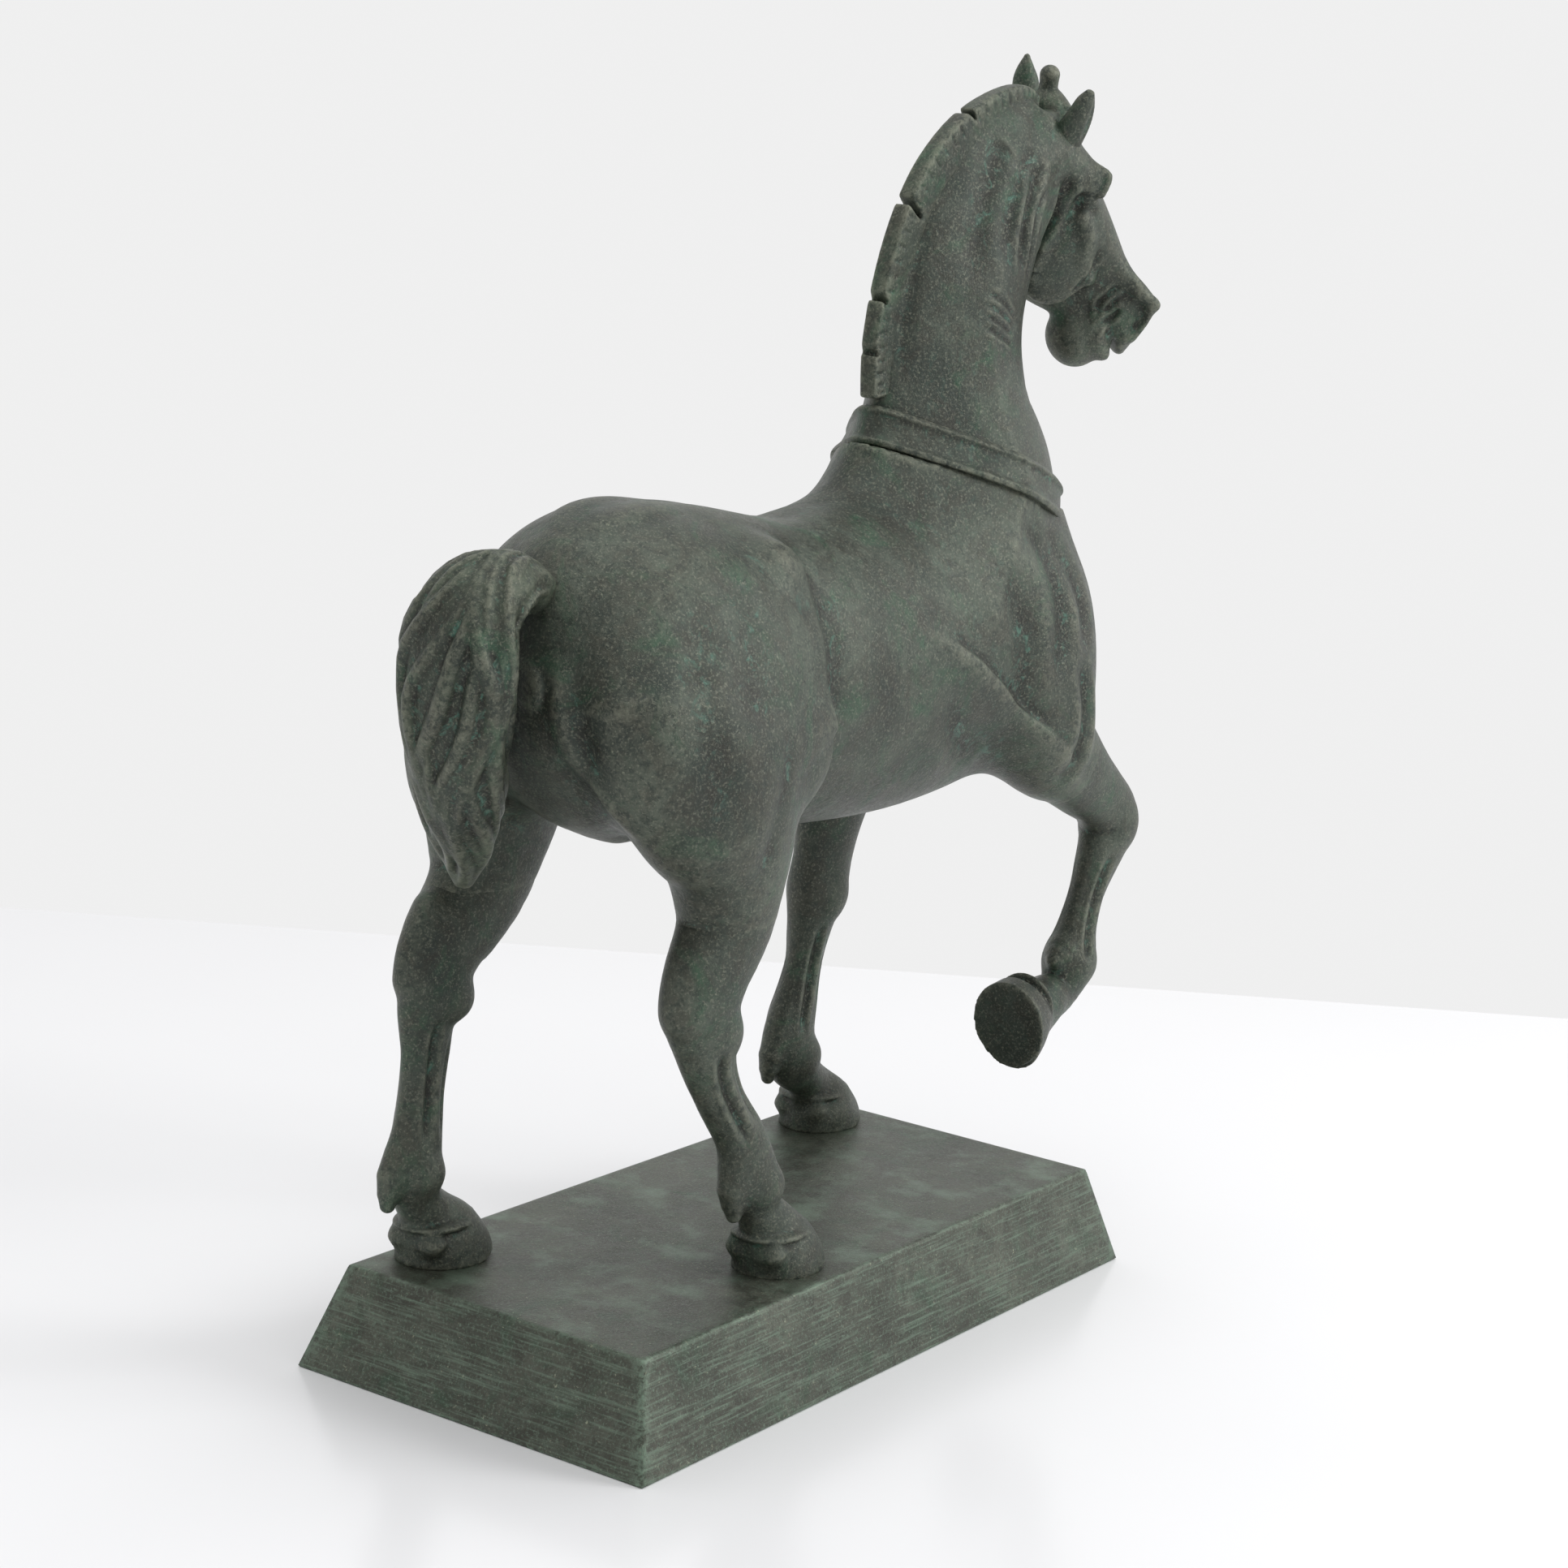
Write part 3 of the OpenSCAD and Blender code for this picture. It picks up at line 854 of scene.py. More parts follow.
class Casting:
    """A sub-assembly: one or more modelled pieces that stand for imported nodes."""

    bench: Bench

    def settle(self, skin: Skin, name: str, finish: Finish, *nodes: str, broad: int = 60) -> bpy.types.Object:
        """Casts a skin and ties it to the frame.

        Args:
            skin: the skin.
            name: the piece's name.
            finish: what it is finished in.
            nodes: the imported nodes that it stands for.
            broad: how many rounds of calming its relief is read against.

        Returns:
            The piece.
        """
        piece = skin.cast(name, self.bench, finish.value, broad)
        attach(piece, "root")
        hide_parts(*nodes)
        return piece


NECK_LINE: tuple[Station, ...] = (
    (46, 0, 168, 28, 40, 30),
    (58, 0, 188, 35, 50, 39),
    (73, 0, 214, 33, 51.5, 44),
    (73, 0, 236, 24, 37, 35),
    (71, 0, 254, 20, 35.5, 31),
    (71, -1, 273, 19, 35.5, 30),
    (77, -3, 291, 18, 32, 28),
    (87, -6, 306, 15, 27, 25),
    (101, -8, 316, 12, 19, 19),
)
NECK_AXIS: Point = (0.32, 0.0, 0.95)
NECK_JOINT: Point = (73, 0, 214)
FOREARM_AXIS: Point = (-0.93, 0.0, 0.37)
NECK_PINCH = 0.5

# The tops of the hind and fore legs, left then right, shared by each leg and the body
THIGHS: tuple[tuple[Station, ...], ...] = (
    (
        (-101, 38, 82, 8, 12, 12),
        (-97, 38, 93, 10, 15.5, 13),
        (-86, 38, 106, 12, 18, 15),
        (-82, 38, 124, 15, 26, 22),
        (-83, 37, 138, 19, 33, 28),
        (-82, 34, 152, 21, 43, 36),
        (-80, 28, 168, 21, 43, 40),
        (-81, 20, 184, 19, 34, 34),
        (-83, 13, 198, 13, 21, 21),
        (-84, 7, 208, 4, 8, 8),
    ),
    (
        (-74, -33, 84, 9, 12, 15),
        (-72, -33, 94, 10, 14, 15),
        (-67, -33, 106, 12, 16, 15),
        (-70, -34, 124, 15, 25, 19),
        (-77, -34, 138, 18, 35, 26),
        (-80, -31, 152, 21, 46, 36),
        (-79, -27, 168, 21, 45, 41),
        (-81, -20, 184, 19, 35, 35),
        (-83, -13, 198, 13, 21, 21),
        (-84, -7, 208, 4, 8, 8),
    ),
)
ARMS: tuple[tuple[Station, ...], ...] = (
    (
        (82, 35, 90, 8, 12, 12),
        (84, 35, 101, 9, 13, 13),
        (86, 34, 114, 11, 15, 15),
        (88, 33, 124, 13, 18, 18),
        (92, 31, 137, 15, 22, 22),
        (95, 28, 154, 16, 26, 27),
        (96, 23, 174, 15, 27, 30),
        (95, 17, 194, 11, 20, 24),
        (92, 9, 208, 4, 8, 10),
    ),
    (
        (141, -30, 114, 9, 10, 11),
        (130, -30, 121, 10, 11, 13),
        (116, -30, 130, 12, 13, 16),
        (106, -30, 136, 14, 17, 19),
        (99, -30, 147, 15, 21, 22),
        (97, -27, 162, 16, 26, 27),
        (97, -23, 180, 15, 27, 29),
        (96, -17, 196, 11, 20, 24),
        (92, -9, 208, 4, 8, 10),
    ),
)
LEG_JOINTS: dict[str, tuple[Point, Point]] = {
    "hind_leg_left": ((-86, 38, 106), UPRIGHT),
    "hind_leg_right": ((-67, -33, 106), UPRIGHT),
    "fore_leg_left": ((86, 34, 114), UPRIGHT),
    "fore_leg_right": ((116, -30, 130), FOREARM_AXIS),
}
SHARED = 5


@dataclass
class HorseBody(Casting):
    """The trunk, from buttocks to breast, with the tops of the legs."""

    bench: Bench
    step: float = 1.0
    trunk: tuple[Station, ...] = (
        (-121, 0, 170, 10, 9, 10),
        (-116, 0, 170, 19, 24, 23),
        (-104, 0, 171, 28, 39, 36.5),
        (-86, 0, 172, 35, 46, 42),
        (-62, 0, 172, 37, 48, 43),
        (-36, 0, 169, 37, 47, 42),
        (-8, 0, 165, 37, 46, 43),
        (20, 0, 165, 38, 48, 46),
        (48, 0, 166, 38, 49, 46),
        (76, 0, 166, 38, 46, 43),
        (98, 0, 166, 35, 40, 38),
        (114, 0, 167, 28, 32, 30),
        (124, 0, 169, 18, 21, 22),
        (129, 0, 170, 8, 9, 10),
    )

    def clay(self) -> Clay:
        """The trunk and its muscles."""
        clay = Clay((-128, -66, 99), (142, 66, 262), self.step, reach=18)
        clay.add(Limb(self.trunk, cap=4))
        clay.add(Limb(NECK_LINE[:6], pinch=NECK_PINCH), blend=14)
        clay.keep((73.6, 0, 215.9), tuple(-c for c in NECK_AXIS))
        clay.add(*(Limb(line) for line in THIGHS), blend=12)
        clay.add(*(Limb(line) for line in ARMS), blend=15)
        for side in (-1, 1):
            clay.add(Lump((-46, 25 * side, 198), (8, 7, 7)), blend=9)
            clay.add(Lump((116, 11 * side, 162), (8, 11, 14)), blend=8)
            clay.add(Lump((117, 9 * side, 187), (12, 12, 13)), blend=8)
        clay.add(Lump((-46, -38, 150), (11, 8, 14)), blend=10)
        clay.add(Lump((-48, 40, 150), (11, 8, 14)), blend=10)
        clay.add(Rope(((-92, 0, 140, 7), (-82, 0, 132, 6.5), (-74, 0, 129, 6.5)), 1), blend=4)
        clay.add(Rope(((-72, -1, 130, 6), (-60, -1, 125, 5.5)), 1), blend=2)
        clay.cut(Rope(((-128, 0, 184, 5), (-126, 0, 160, 5), (-118, 0, 140, 6), (-108, 0, 128, 6))), blend=8)
        for (x, y, z), facing in LEG_JOINTS.values():
            clay.sink((x, y, z), facing, ((x - 36, y - 24, z - 30), (x + 36, y + 24, z + 20)))
        return clay

    def strokes(self) -> list[Stroke]:
        """The muscles' edges, folds and hollows."""
        right = [
            Stroke(
                ((-39, -20, 206), (-37, -30, 196), (-38, -36, 182), (-38, -40, 167), (-37, -44, 152), (-40, -44, 138)),
                5, -1.1,
            ),
            Stroke(((-30, -24, 200), (-28, -34, 184), (-28, -38, 168), (-27, -38, 154)), 9, 1.5),
            Stroke(((-70, -32, 200), (-75, -40, 188), (-80, -46, 174), (-78, -50, 158)), 10, 1.7),
            Stroke(((-92, -30, 197), (-93, -38, 187), (-100, -44, 170), (-96, -50, 148), (-88, -50, 130)), 8, 1.4),
            Stroke(
                ((-118, -12, 181), (-119, -14, 169), (-114, -17, 153), (-111, -26, 142), (-104, -34, 128)), 3.5, -1.8
            ),
            Stroke(((-68, -50, 164), (-68, -53, 148), (-72, -52, 132), (-74, -46, 116)), 4, 1.0),
            Stroke(((53, -31, 196), (63, -35, 185), (69, -38, 170), (72, -38, 154), (82, -40, 140)), 5, 1.2, 0.3),
            Stroke(((66, -30, 208), (84, -32, 193), (87, -39, 172), (83, -40, 158)), 4.5, 1.4, 0.3),
            Stroke(((84, -30, 206), (95, -35, 190), (100, -40, 178), (99, -43, 164)), 3.5, 1.2, 0.3),
            Stroke(((95, -43, 166), (101, -45, 150), (101, -44, 136), (94, -38, 124)), 3, 1.6, 0.3),
            Stroke(((30, -38, 158), (46, -36, 144), (64, -34, 132)), 5, 1.0, 0.4),
        ]
        left = [s.mirrored() for s in right if s.path[0][0] < 30 or s.depth < 1.5]
        middle = [
            Stroke(((-110, 0, 206), (-80, 0, 214), (-40, 0, 212), (0, 0, 210), (40, 0, 212)), 5, 0.7),
            Stroke(((130, 0, 178), (130, 0, 164), (124, 0, 146)), 4, 2.0),
        ]
        return right + left + middle

    def build(self) -> None:
        """Models the body and stands it for its node."""
        skin = self.clay().skin(3).chase(self.strokes())
        self.settle(skin, "body", Finish.HORSE, "body_casting")


@dataclass(frozen=True)
class Jig:
    """A frame of its own for a hoof or a head: an origin and three directions."""

    origin: Point
    axes: tuple[Point, Point, Point]

    def at(self, spot: Point) -> Point:
        """A spot drawn in the jig, in modelling millimetres."""
        return tuple(np.asarray(self.origin) + np.asarray(spot, float) @ np.asarray(self.axes, float))

    def limb(self, shape: tuple[Station, ...], left: Point, cap: float = 2.0) -> Limb:
        """A form drawn in the jig."""
        rows = tuple((*self.at(s[:3]), *s[3:]) for s in shape)
        return Limb(rows, left=left, cap=cap)

    def lump(self, spot: Point, half: Point, pitch: float = 0.0, yaw: float = 0.0) -> Lump:
        """An ellipsoid drawn in the jig, pitched towards its second direction and yawed towards its third."""
        a, o, r = np.asarray(self.axes, float)
        p, w = math.radians(pitch), math.radians(yaw)
        a, o = a * math.cos(p) + o * math.sin(p), o * math.cos(p) - a * math.sin(p)
        a, r = a * math.cos(w) + r * math.sin(w), r * math.cos(w) - a * math.sin(w)
        return Lump(self.at(spot), half, (tuple(a), tuple(o), tuple(r)))

    def rope(self, *spots: tuple[float, float, float, float]) -> Rope:
        """A round form drawn in the jig."""
        return Rope(tuple((*self.at(s[:3]), s[3]) for s in spots))

    def stroke(self, path: tuple[Point, ...], width: float, depth: float, lip: float = 0.0) -> Stroke:
        """A stroke drawn in the jig."""
        return Stroke(tuple(self.at(p) for p in path), width, depth, lip)


@dataclass
class Leg(Casting):
    """One leg, from its hoof up to its joint with the body.

    The line runs from the hoof upwards. The ankle, spur and knee are the middles of the leg's knobs, and the
    hoof's jig has its toe, its left and the way up from its sole.
    """

    bench: Bench
    name: str
    line: tuple[Station, ...]
    hoof: Jig
    ankle: Point
    spur: tuple[tuple[float, float, float, float], ...]
    knee: Point
    cannon: tuple[int, int]
    raised: bool = False
    hind: bool = True
    step: float = 0.55

    def foot(self, clay: Clay) -> None:
        """Adds the hoof, its coronet, its heels and the knobs of the ankle."""
        left = self.hoof.axes[1]
        wall = ((0, 0, -1, 12.6, 16.6, 13.6), (-1, 0, 3, 12, 15.4, 13), (-3, 0, 9, 10, 12, 11))
        clay.add(self.hoof.limb(wall, left, cap=1), blend=0.8)
        ring = (-3, 0, 11, 10, 10, 2) if self.raised else (-4.5, 0, 11.4, 12, 10.4, 2.2)
        clay.add(self.hoof.lump(ring[:3], ring[3:]), blend=0.8)
        for s in (-1, 1):
            if not self.raised:
                clay.add(self.hoof.lump((-11, 5 * s, 7), (3.5, 4.5, 4)), blend=2)
            x, y, z = self.ankle
            clay.add(Lump((x, y + 3.5 * s, z), (6, 4.5, 5.5)), blend=3)
        clay.add(Rope(self.spur, 1), blend=2.5)

    def clay(self) -> Clay:
        """The bones and tendons under the leg's skin."""
        rows = np.asarray(self.line, float)
        pad = rows[:, 3:].max() + 3
        low, high = rows[:, :3].min(axis=0) - pad, rows[:, :3].max(axis=0) + pad
        clay = Clay(tuple(low), tuple(high), self.step, reach=9)
        clay.add(Limb(self.line, cap=2))
        self.foot(clay)
        x, y, z = self.knee
        if self.hind:
            clay.add(Rope(((x - 10, y, z + 1, 4.4), (x - 9.5, y, z + 9, 4), (x - 3, y, z + 19, 4))), blend=5)
            for s in (-1, 1):
                clay.add(Lump((x + 4, y + 5 * s, z - 6), (6, 3.5, 6)), blend=3)
        else:
            for s in (-1, 1):
                clay.add(Lump((x + 2, y + 5 * s, z), (6, 4, 7)), blend=3)
        joint, axis = LEG_JOINTS[self.name]
        clay.sink(joint, tuple(-np.asarray(axis)))
        if self.raised:
            clay.keep(self.hoof.origin, self.hoof.axes[2])
        else:
            clay.keep((0, 0, -0.2), UPRIGHT)
        return clay

    def strokes(self) -> list[Stroke]:
        """The grooves beside the tendon and the shallower lines along the front of the cannon."""
        frames = Limb(self.line).frames()
        first, last = (4 * i for i in self.cannon)
        made = []
        for s in (-1, 1):
            path = []
            for row, _, side, front in frames[first : last + 1 : 2]:
                path.append(tuple(row[:3] + side * row[3] * 0.95 * s - front * row[5] * 0.3))
            made.append(Stroke(tuple(path), 1.3, 1.4, 0.3, 0.2))
            edge = [
                tuple(row[:3] + side * row[3] * 0.8 * s + front * row[4] * 0.5)
                for row, _, side, front in frames[first:last:2]
            ]
            made.append(Stroke(tuple(edge), 1.0, 0.6, 0.3, 0.3))
        return made

    def build(self) -> None:
        """Models the leg and stands it for its node."""
        skin = self.clay().skin(1).chase(self.strokes())
        self.settle(skin, self.name, Finish.HORSE, self.name)


def head_jig(poll: Point = (114, -9, 321), turn: float = 40.0, drop: float = 62.5, tilt: float = 14.0) -> Jig:
    """The head's own frame: along the face, out of the forehead, and to the head's right.

    Args:
        poll: where the head's frame starts, between the ears.
        turn: degrees that the head is turned to the right.
        drop: degrees that the face drops from level.
        tilt: degrees that the head leans over.

    Returns:
        The jig.
    """
    turn, drop, tilt = (math.radians(a) for a in (turn, drop, tilt))
    ahead = np.array([math.cos(turn), -math.sin(turn), 0])
    flat = np.array([-math.sin(turn), -math.cos(turn), 0])
    right = flat * math.cos(tilt) - np.array([0, 0, math.sin(tilt)])
    crown = flat * math.sin(tilt) + np.array([0, 0, math.cos(tilt)])
    face = ahead * math.cos(drop) - crown * math.sin(drop)
    return Jig(poll, (tuple(face), tuple(ahead * math.sin(drop) + crown * math.cos(drop)), tuple(right)))


@dataclass
class NeckAndHead(Casting):
    """The neck, the turned head, the ears, the clipped mane and the forelock."""

    bench: Bench
    plan: Jig = field(default_factory=head_jig)
    step: float = 0.7
    skull: tuple[Station, ...] = (
        (-6, -3, 0, 8, 9, 6),
        (3, 0, 0, 12, 15, 4),
        (13, 0, 0, 14, 18, 5),
        (23, 0, 0, 12, 22, 7),
        (33, 0, 0, 10, 24, 8),
        (42, 0, 0, 9, 22, 8.5),
        (50, 0, 0, 7, 17, 9),
        (58, 0, 0, 7, 12, 10),
        (65, 0, 0, 8, 9, 9),
        (69, -1, 0, 7, 8, 6),
        (74, -4, 0, 5, 6, 4),
    )
    mane: tuple[Station, ...] = (
        (40, 0, 242, 3, 4, 6),
        (39, 0, 255, 3, 6, 6),
        (40, -1, 271, 3, 6, 6),
        (43, -3, 288, 3, 6, 6),
        (50, -5, 303.5, 3, 6, 6),
        (61.5, -7, 315.7, 3, 6, 6),
        (76, -8, 323.2, 3, 6, 6),
        (90, -9, 327, 3, 6, 6),
        (99, -9, 327, 2, 4, 4),
    )

    def left(self) -> Point:
        """The head's own left."""
        return tuple(-c for c in self.plan.axes[2])

    def head(self, clay: Clay) -> None:
        """Adds the skull, the cheeks, the brows, the nostrils and the lips.

        Args:
            clay: the block that they are added to.
        """
        plan = self.plan
        clay.add(plan.limb(self.skull, self.left()), blend=11)
        clay.add(plan.rope((26, -25, 0, 5), (40, -25, 0, 4), (50, -18, 0, 4), (57, -12, 0, 4)), blend=4)
        for s in (-1, 1):
            clay.add(plan.lump((31, -12, 8.5 * s), (19.5, 14, 4.6), -28), blend=2)
            clay.add(plan.lump((12, 0, 9 * s), (9, 4, 5), 22, 14 * s), blend=5)
            clay.add(plan.rope((10, 1.5, 11 * s, 3), (15, 4, 12.5 * s, 2.6)), blend=3)
            clay.add(plan.lump((2, -9, 10 * s), (10, 10, 5)), blend=7)
            brow = ((5, 0.5, 9 * s, 2.6), (11, 3.5, 11.5 * s, 2.4), (15.5, 8.2, 13.5 * s, 1.4), (20, 4.5, 14 * s, 1.1))
            clay.add(plan.rope(*brow), blend=2)
            clay.cut(plan.lump((22, -2, 15.5 * s), (5.5, 3.6, 4), 20), blend=3)
            clay.add(plan.lump((20, 0.5, 10.5 * s), (3.6, 2.6, 2.6), 20), blend=1.5)
            ridge = ((25, -3, 12 * s, 2.2), (33, -3.5, 11.5 * s, 2.2), (39, -7, 10.5 * s, 1.8), (47, -6, 8 * s, 1.2))
            clay.add(plan.rope(*ridge), blend=3)
            clay.add(plan.rope((50, 5, 4 * s, 3), (58, 8.5, 6.5 * s, 2.8), (63.5, 11.5, 8 * s, 1.3)), blend=3)
            clay.add(plan.rope((63, 11, 8 * s, 1.5), (67, 6, 8 * s, 1.8), (70, 1.5, 7 * s, 2)), blend=2.5)
            clay.add(plan.lump((64, 2.5, 4 * s), (6, 6, 4)), blend=3)
            clay.cut(plan.rope((63, 7, 10 * s, 1), (67, 4, 9.5 * s, 1.8), (68, 1, 9 * s, 1)), blend=1.5)
            clay.add(plan.rope((60, -6, 6 * s, 2), (66, -8.5, 7 * s, 2), (73, -8, 5 * s, 2)), blend=2.5)
        clay.add(plan.lump((65.5, -14.2, 0), (10, 9, 8.5)), blend=4)
        clay.add(plan.lump((69, -1.5, 0), (5, 5, 7), -30), blend=4)
        clay.cut(plan.lump((76, -5.5, 0), (8, 1.0, 13), -16), blend=2)

    def clay(self) -> Clay:
        """The neck and the head in one."""
        clay = Clay((22, -42, 205), (162, 36, 350), self.step, reach=12)
        clay.add(Limb(NECK_LINE[1:], pinch=NECK_PINCH))
        self.head(clay)
        clay.keep(NECK_JOINT, NECK_AXIS)
        return clay

    def strokes(self) -> list[Stroke]:
        """Hollows of the neck and wrinkles at the throat."""
        plan = self.plan
        neck = [
            Stroke(((76, -14, 316), (73, -15, 313), (66, -17, 300), (62, -18, 286), (59, -18, 272)), 5, 1.6),
            Stroke(((86, -18, 316), (84, -20, 311), (76, -21, 298), (74, -21, 287), (76, -21, 275)), 4, 1.8),
            Stroke(((90, -22, 312), (86, -23, 304), (82, -22, 289), (84, -21, 277)), 2.2, 1.9, 0.3),
            Stroke(((93, -22, 304), (89, -23, 296), (88, -22, 286), (90, -19, 274)), 1.4, 1.4, 0.4),
            Stroke(((49, -8, 302), (45, -7, 280), (43, -6, 264), (42, -6, 246)), 3, 1.0),
        ]
        wrinkles = [
            Stroke(((66, -19, 272 - 3.2 * i), (75, -20, 269 - 3.2 * i), (84, -19, 264 - 2.4 * i)), 0.9, 0.7, 0.5)
            for i in range(4)
        ]
        cheek = [
            plan.stroke(((49, -18, 8 * s), (43, -6, 9 * s), (37, 1, 10 * s)), 1.2, 0.9, 0.4) for s in (-1, 1)
        ]
        cheek += [
            plan.stroke(
                ((6, -6, 12 * s), (12, -10, 12 * s), (20, -18, 12 * s), (32, -27, 11 * s), (44, -30, 8 * s)),
                2.2, 2.4, 0.4,
            )
            for s in (-1, 1)
        ]
        lips = [
            plan.stroke(
                ((53 + 3 * i, 3 - i, 8 * s), (55 + 3 * i, -3, 9 * s), (57 + 3 * i, -9 - i, 9 * s)), 1.0, 0.9, 0.5
            )
            for s in (-1, 1) for i in range(3)
        ]
        return neck + wrinkles + cheek + lips

    def crest(self) -> Skin:
        """The clipped mane, square at its edge and notched into five lengths."""
        clay = Clay((24, -18, 232), (108, 10, 345), 0.5, reach=6)
        line = Limb(self.mane, cap=1.5, square=6)
        clay.add(line)
        for notch in ((30, -2, 256), (32, -3, 271), (42, -5, 296), (62, -7, 325)):
            clay.cut(Lump(notch, (6, 8, 1.1), ((0.8, 0, -0.6), (0, 1, 0), (0.6, 0, 0.8))), blend=1)
        strands = []
        for i, (row, _, side, front) in enumerate(line.frames()):
            for s in (-1, 1):
                root, tip = row[:3] + side * 3 * s - front * 0.5, row[:3] + side * 3 * s - front * 5.5
                path = (tuple(root), tuple((root + tip) / 2), tuple(tip))
                strands.append(Stroke(path, 0.6, 0.25 + 0.1 * (i % 3)))
        return clay.skin(1).chase(strands)

    def ear(self, side: int) -> Skin:
        """Models one leaf-shaped ear, cupped forwards.

        Args:
            side: 1 for the left ear, -1 for the right.

        Returns:
            The ear's skin.
        """
        plan = self.plan
        if side > 0:
            shape = (
                (3, -3, 11, 4, 5, 4.6), (-2, 1, 13, 3.4, 5, 4.6), (-6, 5, 14.5, 2.8, 4.4, 4.2),
                (-10, 8, 15.3, 2.2, 3.2, 3), (-12.2, 9.8, 16, 1.2, 1.6, 1.5),
            )
            cup = plan.rope((3, 3, 16.5, 1.6), (-3, 8, 17, 2.2), (-8.5, 11, 17, 1.1))
        else:
            shape = (
                (-2, -3, -11, 4, 4.6, 4.6), (-9, -2.5, -12.5, 3.4, 4.6, 4.4), (-14, -1, -13.5, 2.8, 4, 3.8),
                (-17.5, 0.6, -14, 2, 2.3, 2.3), (-19.5, 1.7, -14.5, 1, 1, 1),
            )
            cup = plan.rope((-6, 1.5, -15.6, 1.6), (-12, 2, -16.4, 1.7), (-17, 2.5, -16, 0.9))
        low, high = plan.limb(shape, self.left()).span()
        clay = Clay(tuple(low - 4), tuple(high + 4), 0.4, reach=5)
        clay.add(plan.limb(shape, self.left(), cap=1)).cut(cup, blend=1)
        return clay.skin(1)

    def forelock(self) -> Skin:
        """The knob of hair between the ears."""
        plan = self.plan
        knob = plan.rope((3, -1, 2, 6), (-3, 0, 2, 6.6), (-8, 0, 1, 5.6), (-12, 1.5, 0, 3), (-16.5, 3.5, 0, 3.1))
        low, high = knob.span()
        curls = [
            plan.stroke(
                ((-9, 2, 6 + i), (-4, 4 - 2 * i, 8.5), (1, 3 - 3 * i, 8.5), (4, -1 - 3 * i, 7.5)), 0.9, 0.9, 0.4
            )
            for i in range(-1, 3)
        ]
        return Clay(tuple(low - 4), tuple(high + 4), 0.5, reach=6).add(knob).skin(1).chase(curls)

    def build(self) -> None:
        """Models the neck, head, mane, ears and forelock."""
        node = "neck_and_head"
        self.settle(self.clay().skin(2).chase(self.strokes()), "neck_head", Finish.HORSE, node)
        self.settle(self.crest(), "clipped_mane", Finish.HAIR, node)
        self.settle(self.ear(1), "ear_right", Finish.HORSE, node)
        self.settle(self.ear(-1), "ear_left", Finish.HORSE, node)
        self.settle(self.forelock(), "forelock_knob", Finish.HAIR, node)


@dataclass
class Collar(Casting):
    """The band round the foot of the neck, with its two rims."""

    bench: Bench
    band: float = 11.5
    thick: float = 2.0
    rim: float = 1.0
    step: float = 0.5

    def build(self) -> None:
        """Models the collar and stands it for its node."""
        clay = Clay((20, -42, 190), (136, 42, 246), self.step, reach=6)
        clay.add(Limb(NECK_LINE[:6], pinch=NECK_PINCH))
        neck = clay.field.copy()
        up = along(clay.axes, unit(NECK_AXIS), np.asarray(NECK_JOINT, float))
        rims = sum(np.exp(-(((up - at) / 0.9) ** 2)) for at in (1.4, self.band - 1.4))
        clay.field = neck - self.thick - self.rim * rims.astype(np.float32)
        np.maximum(clay.field, -neck - 0.5, out=clay.field)
        np.maximum(clay.field, np.abs(up - self.band / 2) - self.band / 2, out=clay.field)
        self.settle(clay.skin(1), "collar_band", Finish.COLLAR, "collar")


@dataclass
class Tail(Casting):
    """The short dock and the fall of wavy hair, each lock a rope of its own."""

    bench: Bench
    step: float = 0.6
    locks: int = 30
    core: tuple[Station, ...] = (
        (-103, 0, 187, 6, 6, 6),
        (-110, 0, 190, 7, 6.5, 6),
        (-119, 0, 195, 8, 7, 6),
        (-130, 1, 196, 12.5, 8.5, 8),
        (-138, 3, 188, 14.5, 9.5, 9.5),
        (-138.5, 4, 172, 14.5, 9.5, 9.5),
        (-135, 6, 156, 13.5, 10, 10),
        (-127, 10, 138, 11, 9, 9),
        (-119, 15, 124, 6, 5, 5),
        (-113, 20, 114, 2, 2, 2),
    )

    def lock(self, index: int) -> Rope:
        """Draws one wavy lock on the fall's surface.

        Args:
            index: which lock it is.

        Returns:
            The lock.
        """
        frames = Limb(self.core).frames()[::2]
        start = 4 + index % 3
        turn = 2 * math.pi * index / self.locks
        spots = []
        for i in range(start, len(frames)):
            row, _, side, front = frames[i]
            share = (i - start) / (len(frames) - 1 - start)
            angle = turn + 0.5 * math.sin(share * 9 + 1.5 * math.sin(turn * 2))
            angle += 0.14 * math.sin(share * 19 + index * 2.3)
            out = 0.97 + 0.06 * math.sin(share * 12 + index * 2.1)
            spot = row[:3] + side * out * row[3] * math.cos(angle) + front * out * row[4] * math.sin(angle)
            fat = 1.1 + 0.5 * (index % 3)
            spots.append((*spot, 0.5 + fat * math.sin(math.pi * min(share * 0.9 + 0.1, 0.96))))
        return Rope(tuple(spots), 1)

    def build(self) -> None:
        """Models the tail and stands it for its node."""
        clay = Clay((-164, -22, 104), (-96, 36, 212), self.step, reach=8)
        clay.add(Limb(self.core, cap=2))
        for index in range(self.locks):
            clay.add(self.lock(index), blend=0.7)
        for index in range(5):
            strand = (
                (-104 - 2 * index, 5 - 2.5 * index, 193 + index % 2, 2),
                (-122, 6 - 3 * index, 200, 1.8),
                (-136, 8 - 3.6 * index, 194, 2),
            )
            clay.add(Rope(strand), blend=1.5)
        self.settle(clay.skin(1), "tail_hair", Finish.HAIR, "tail")


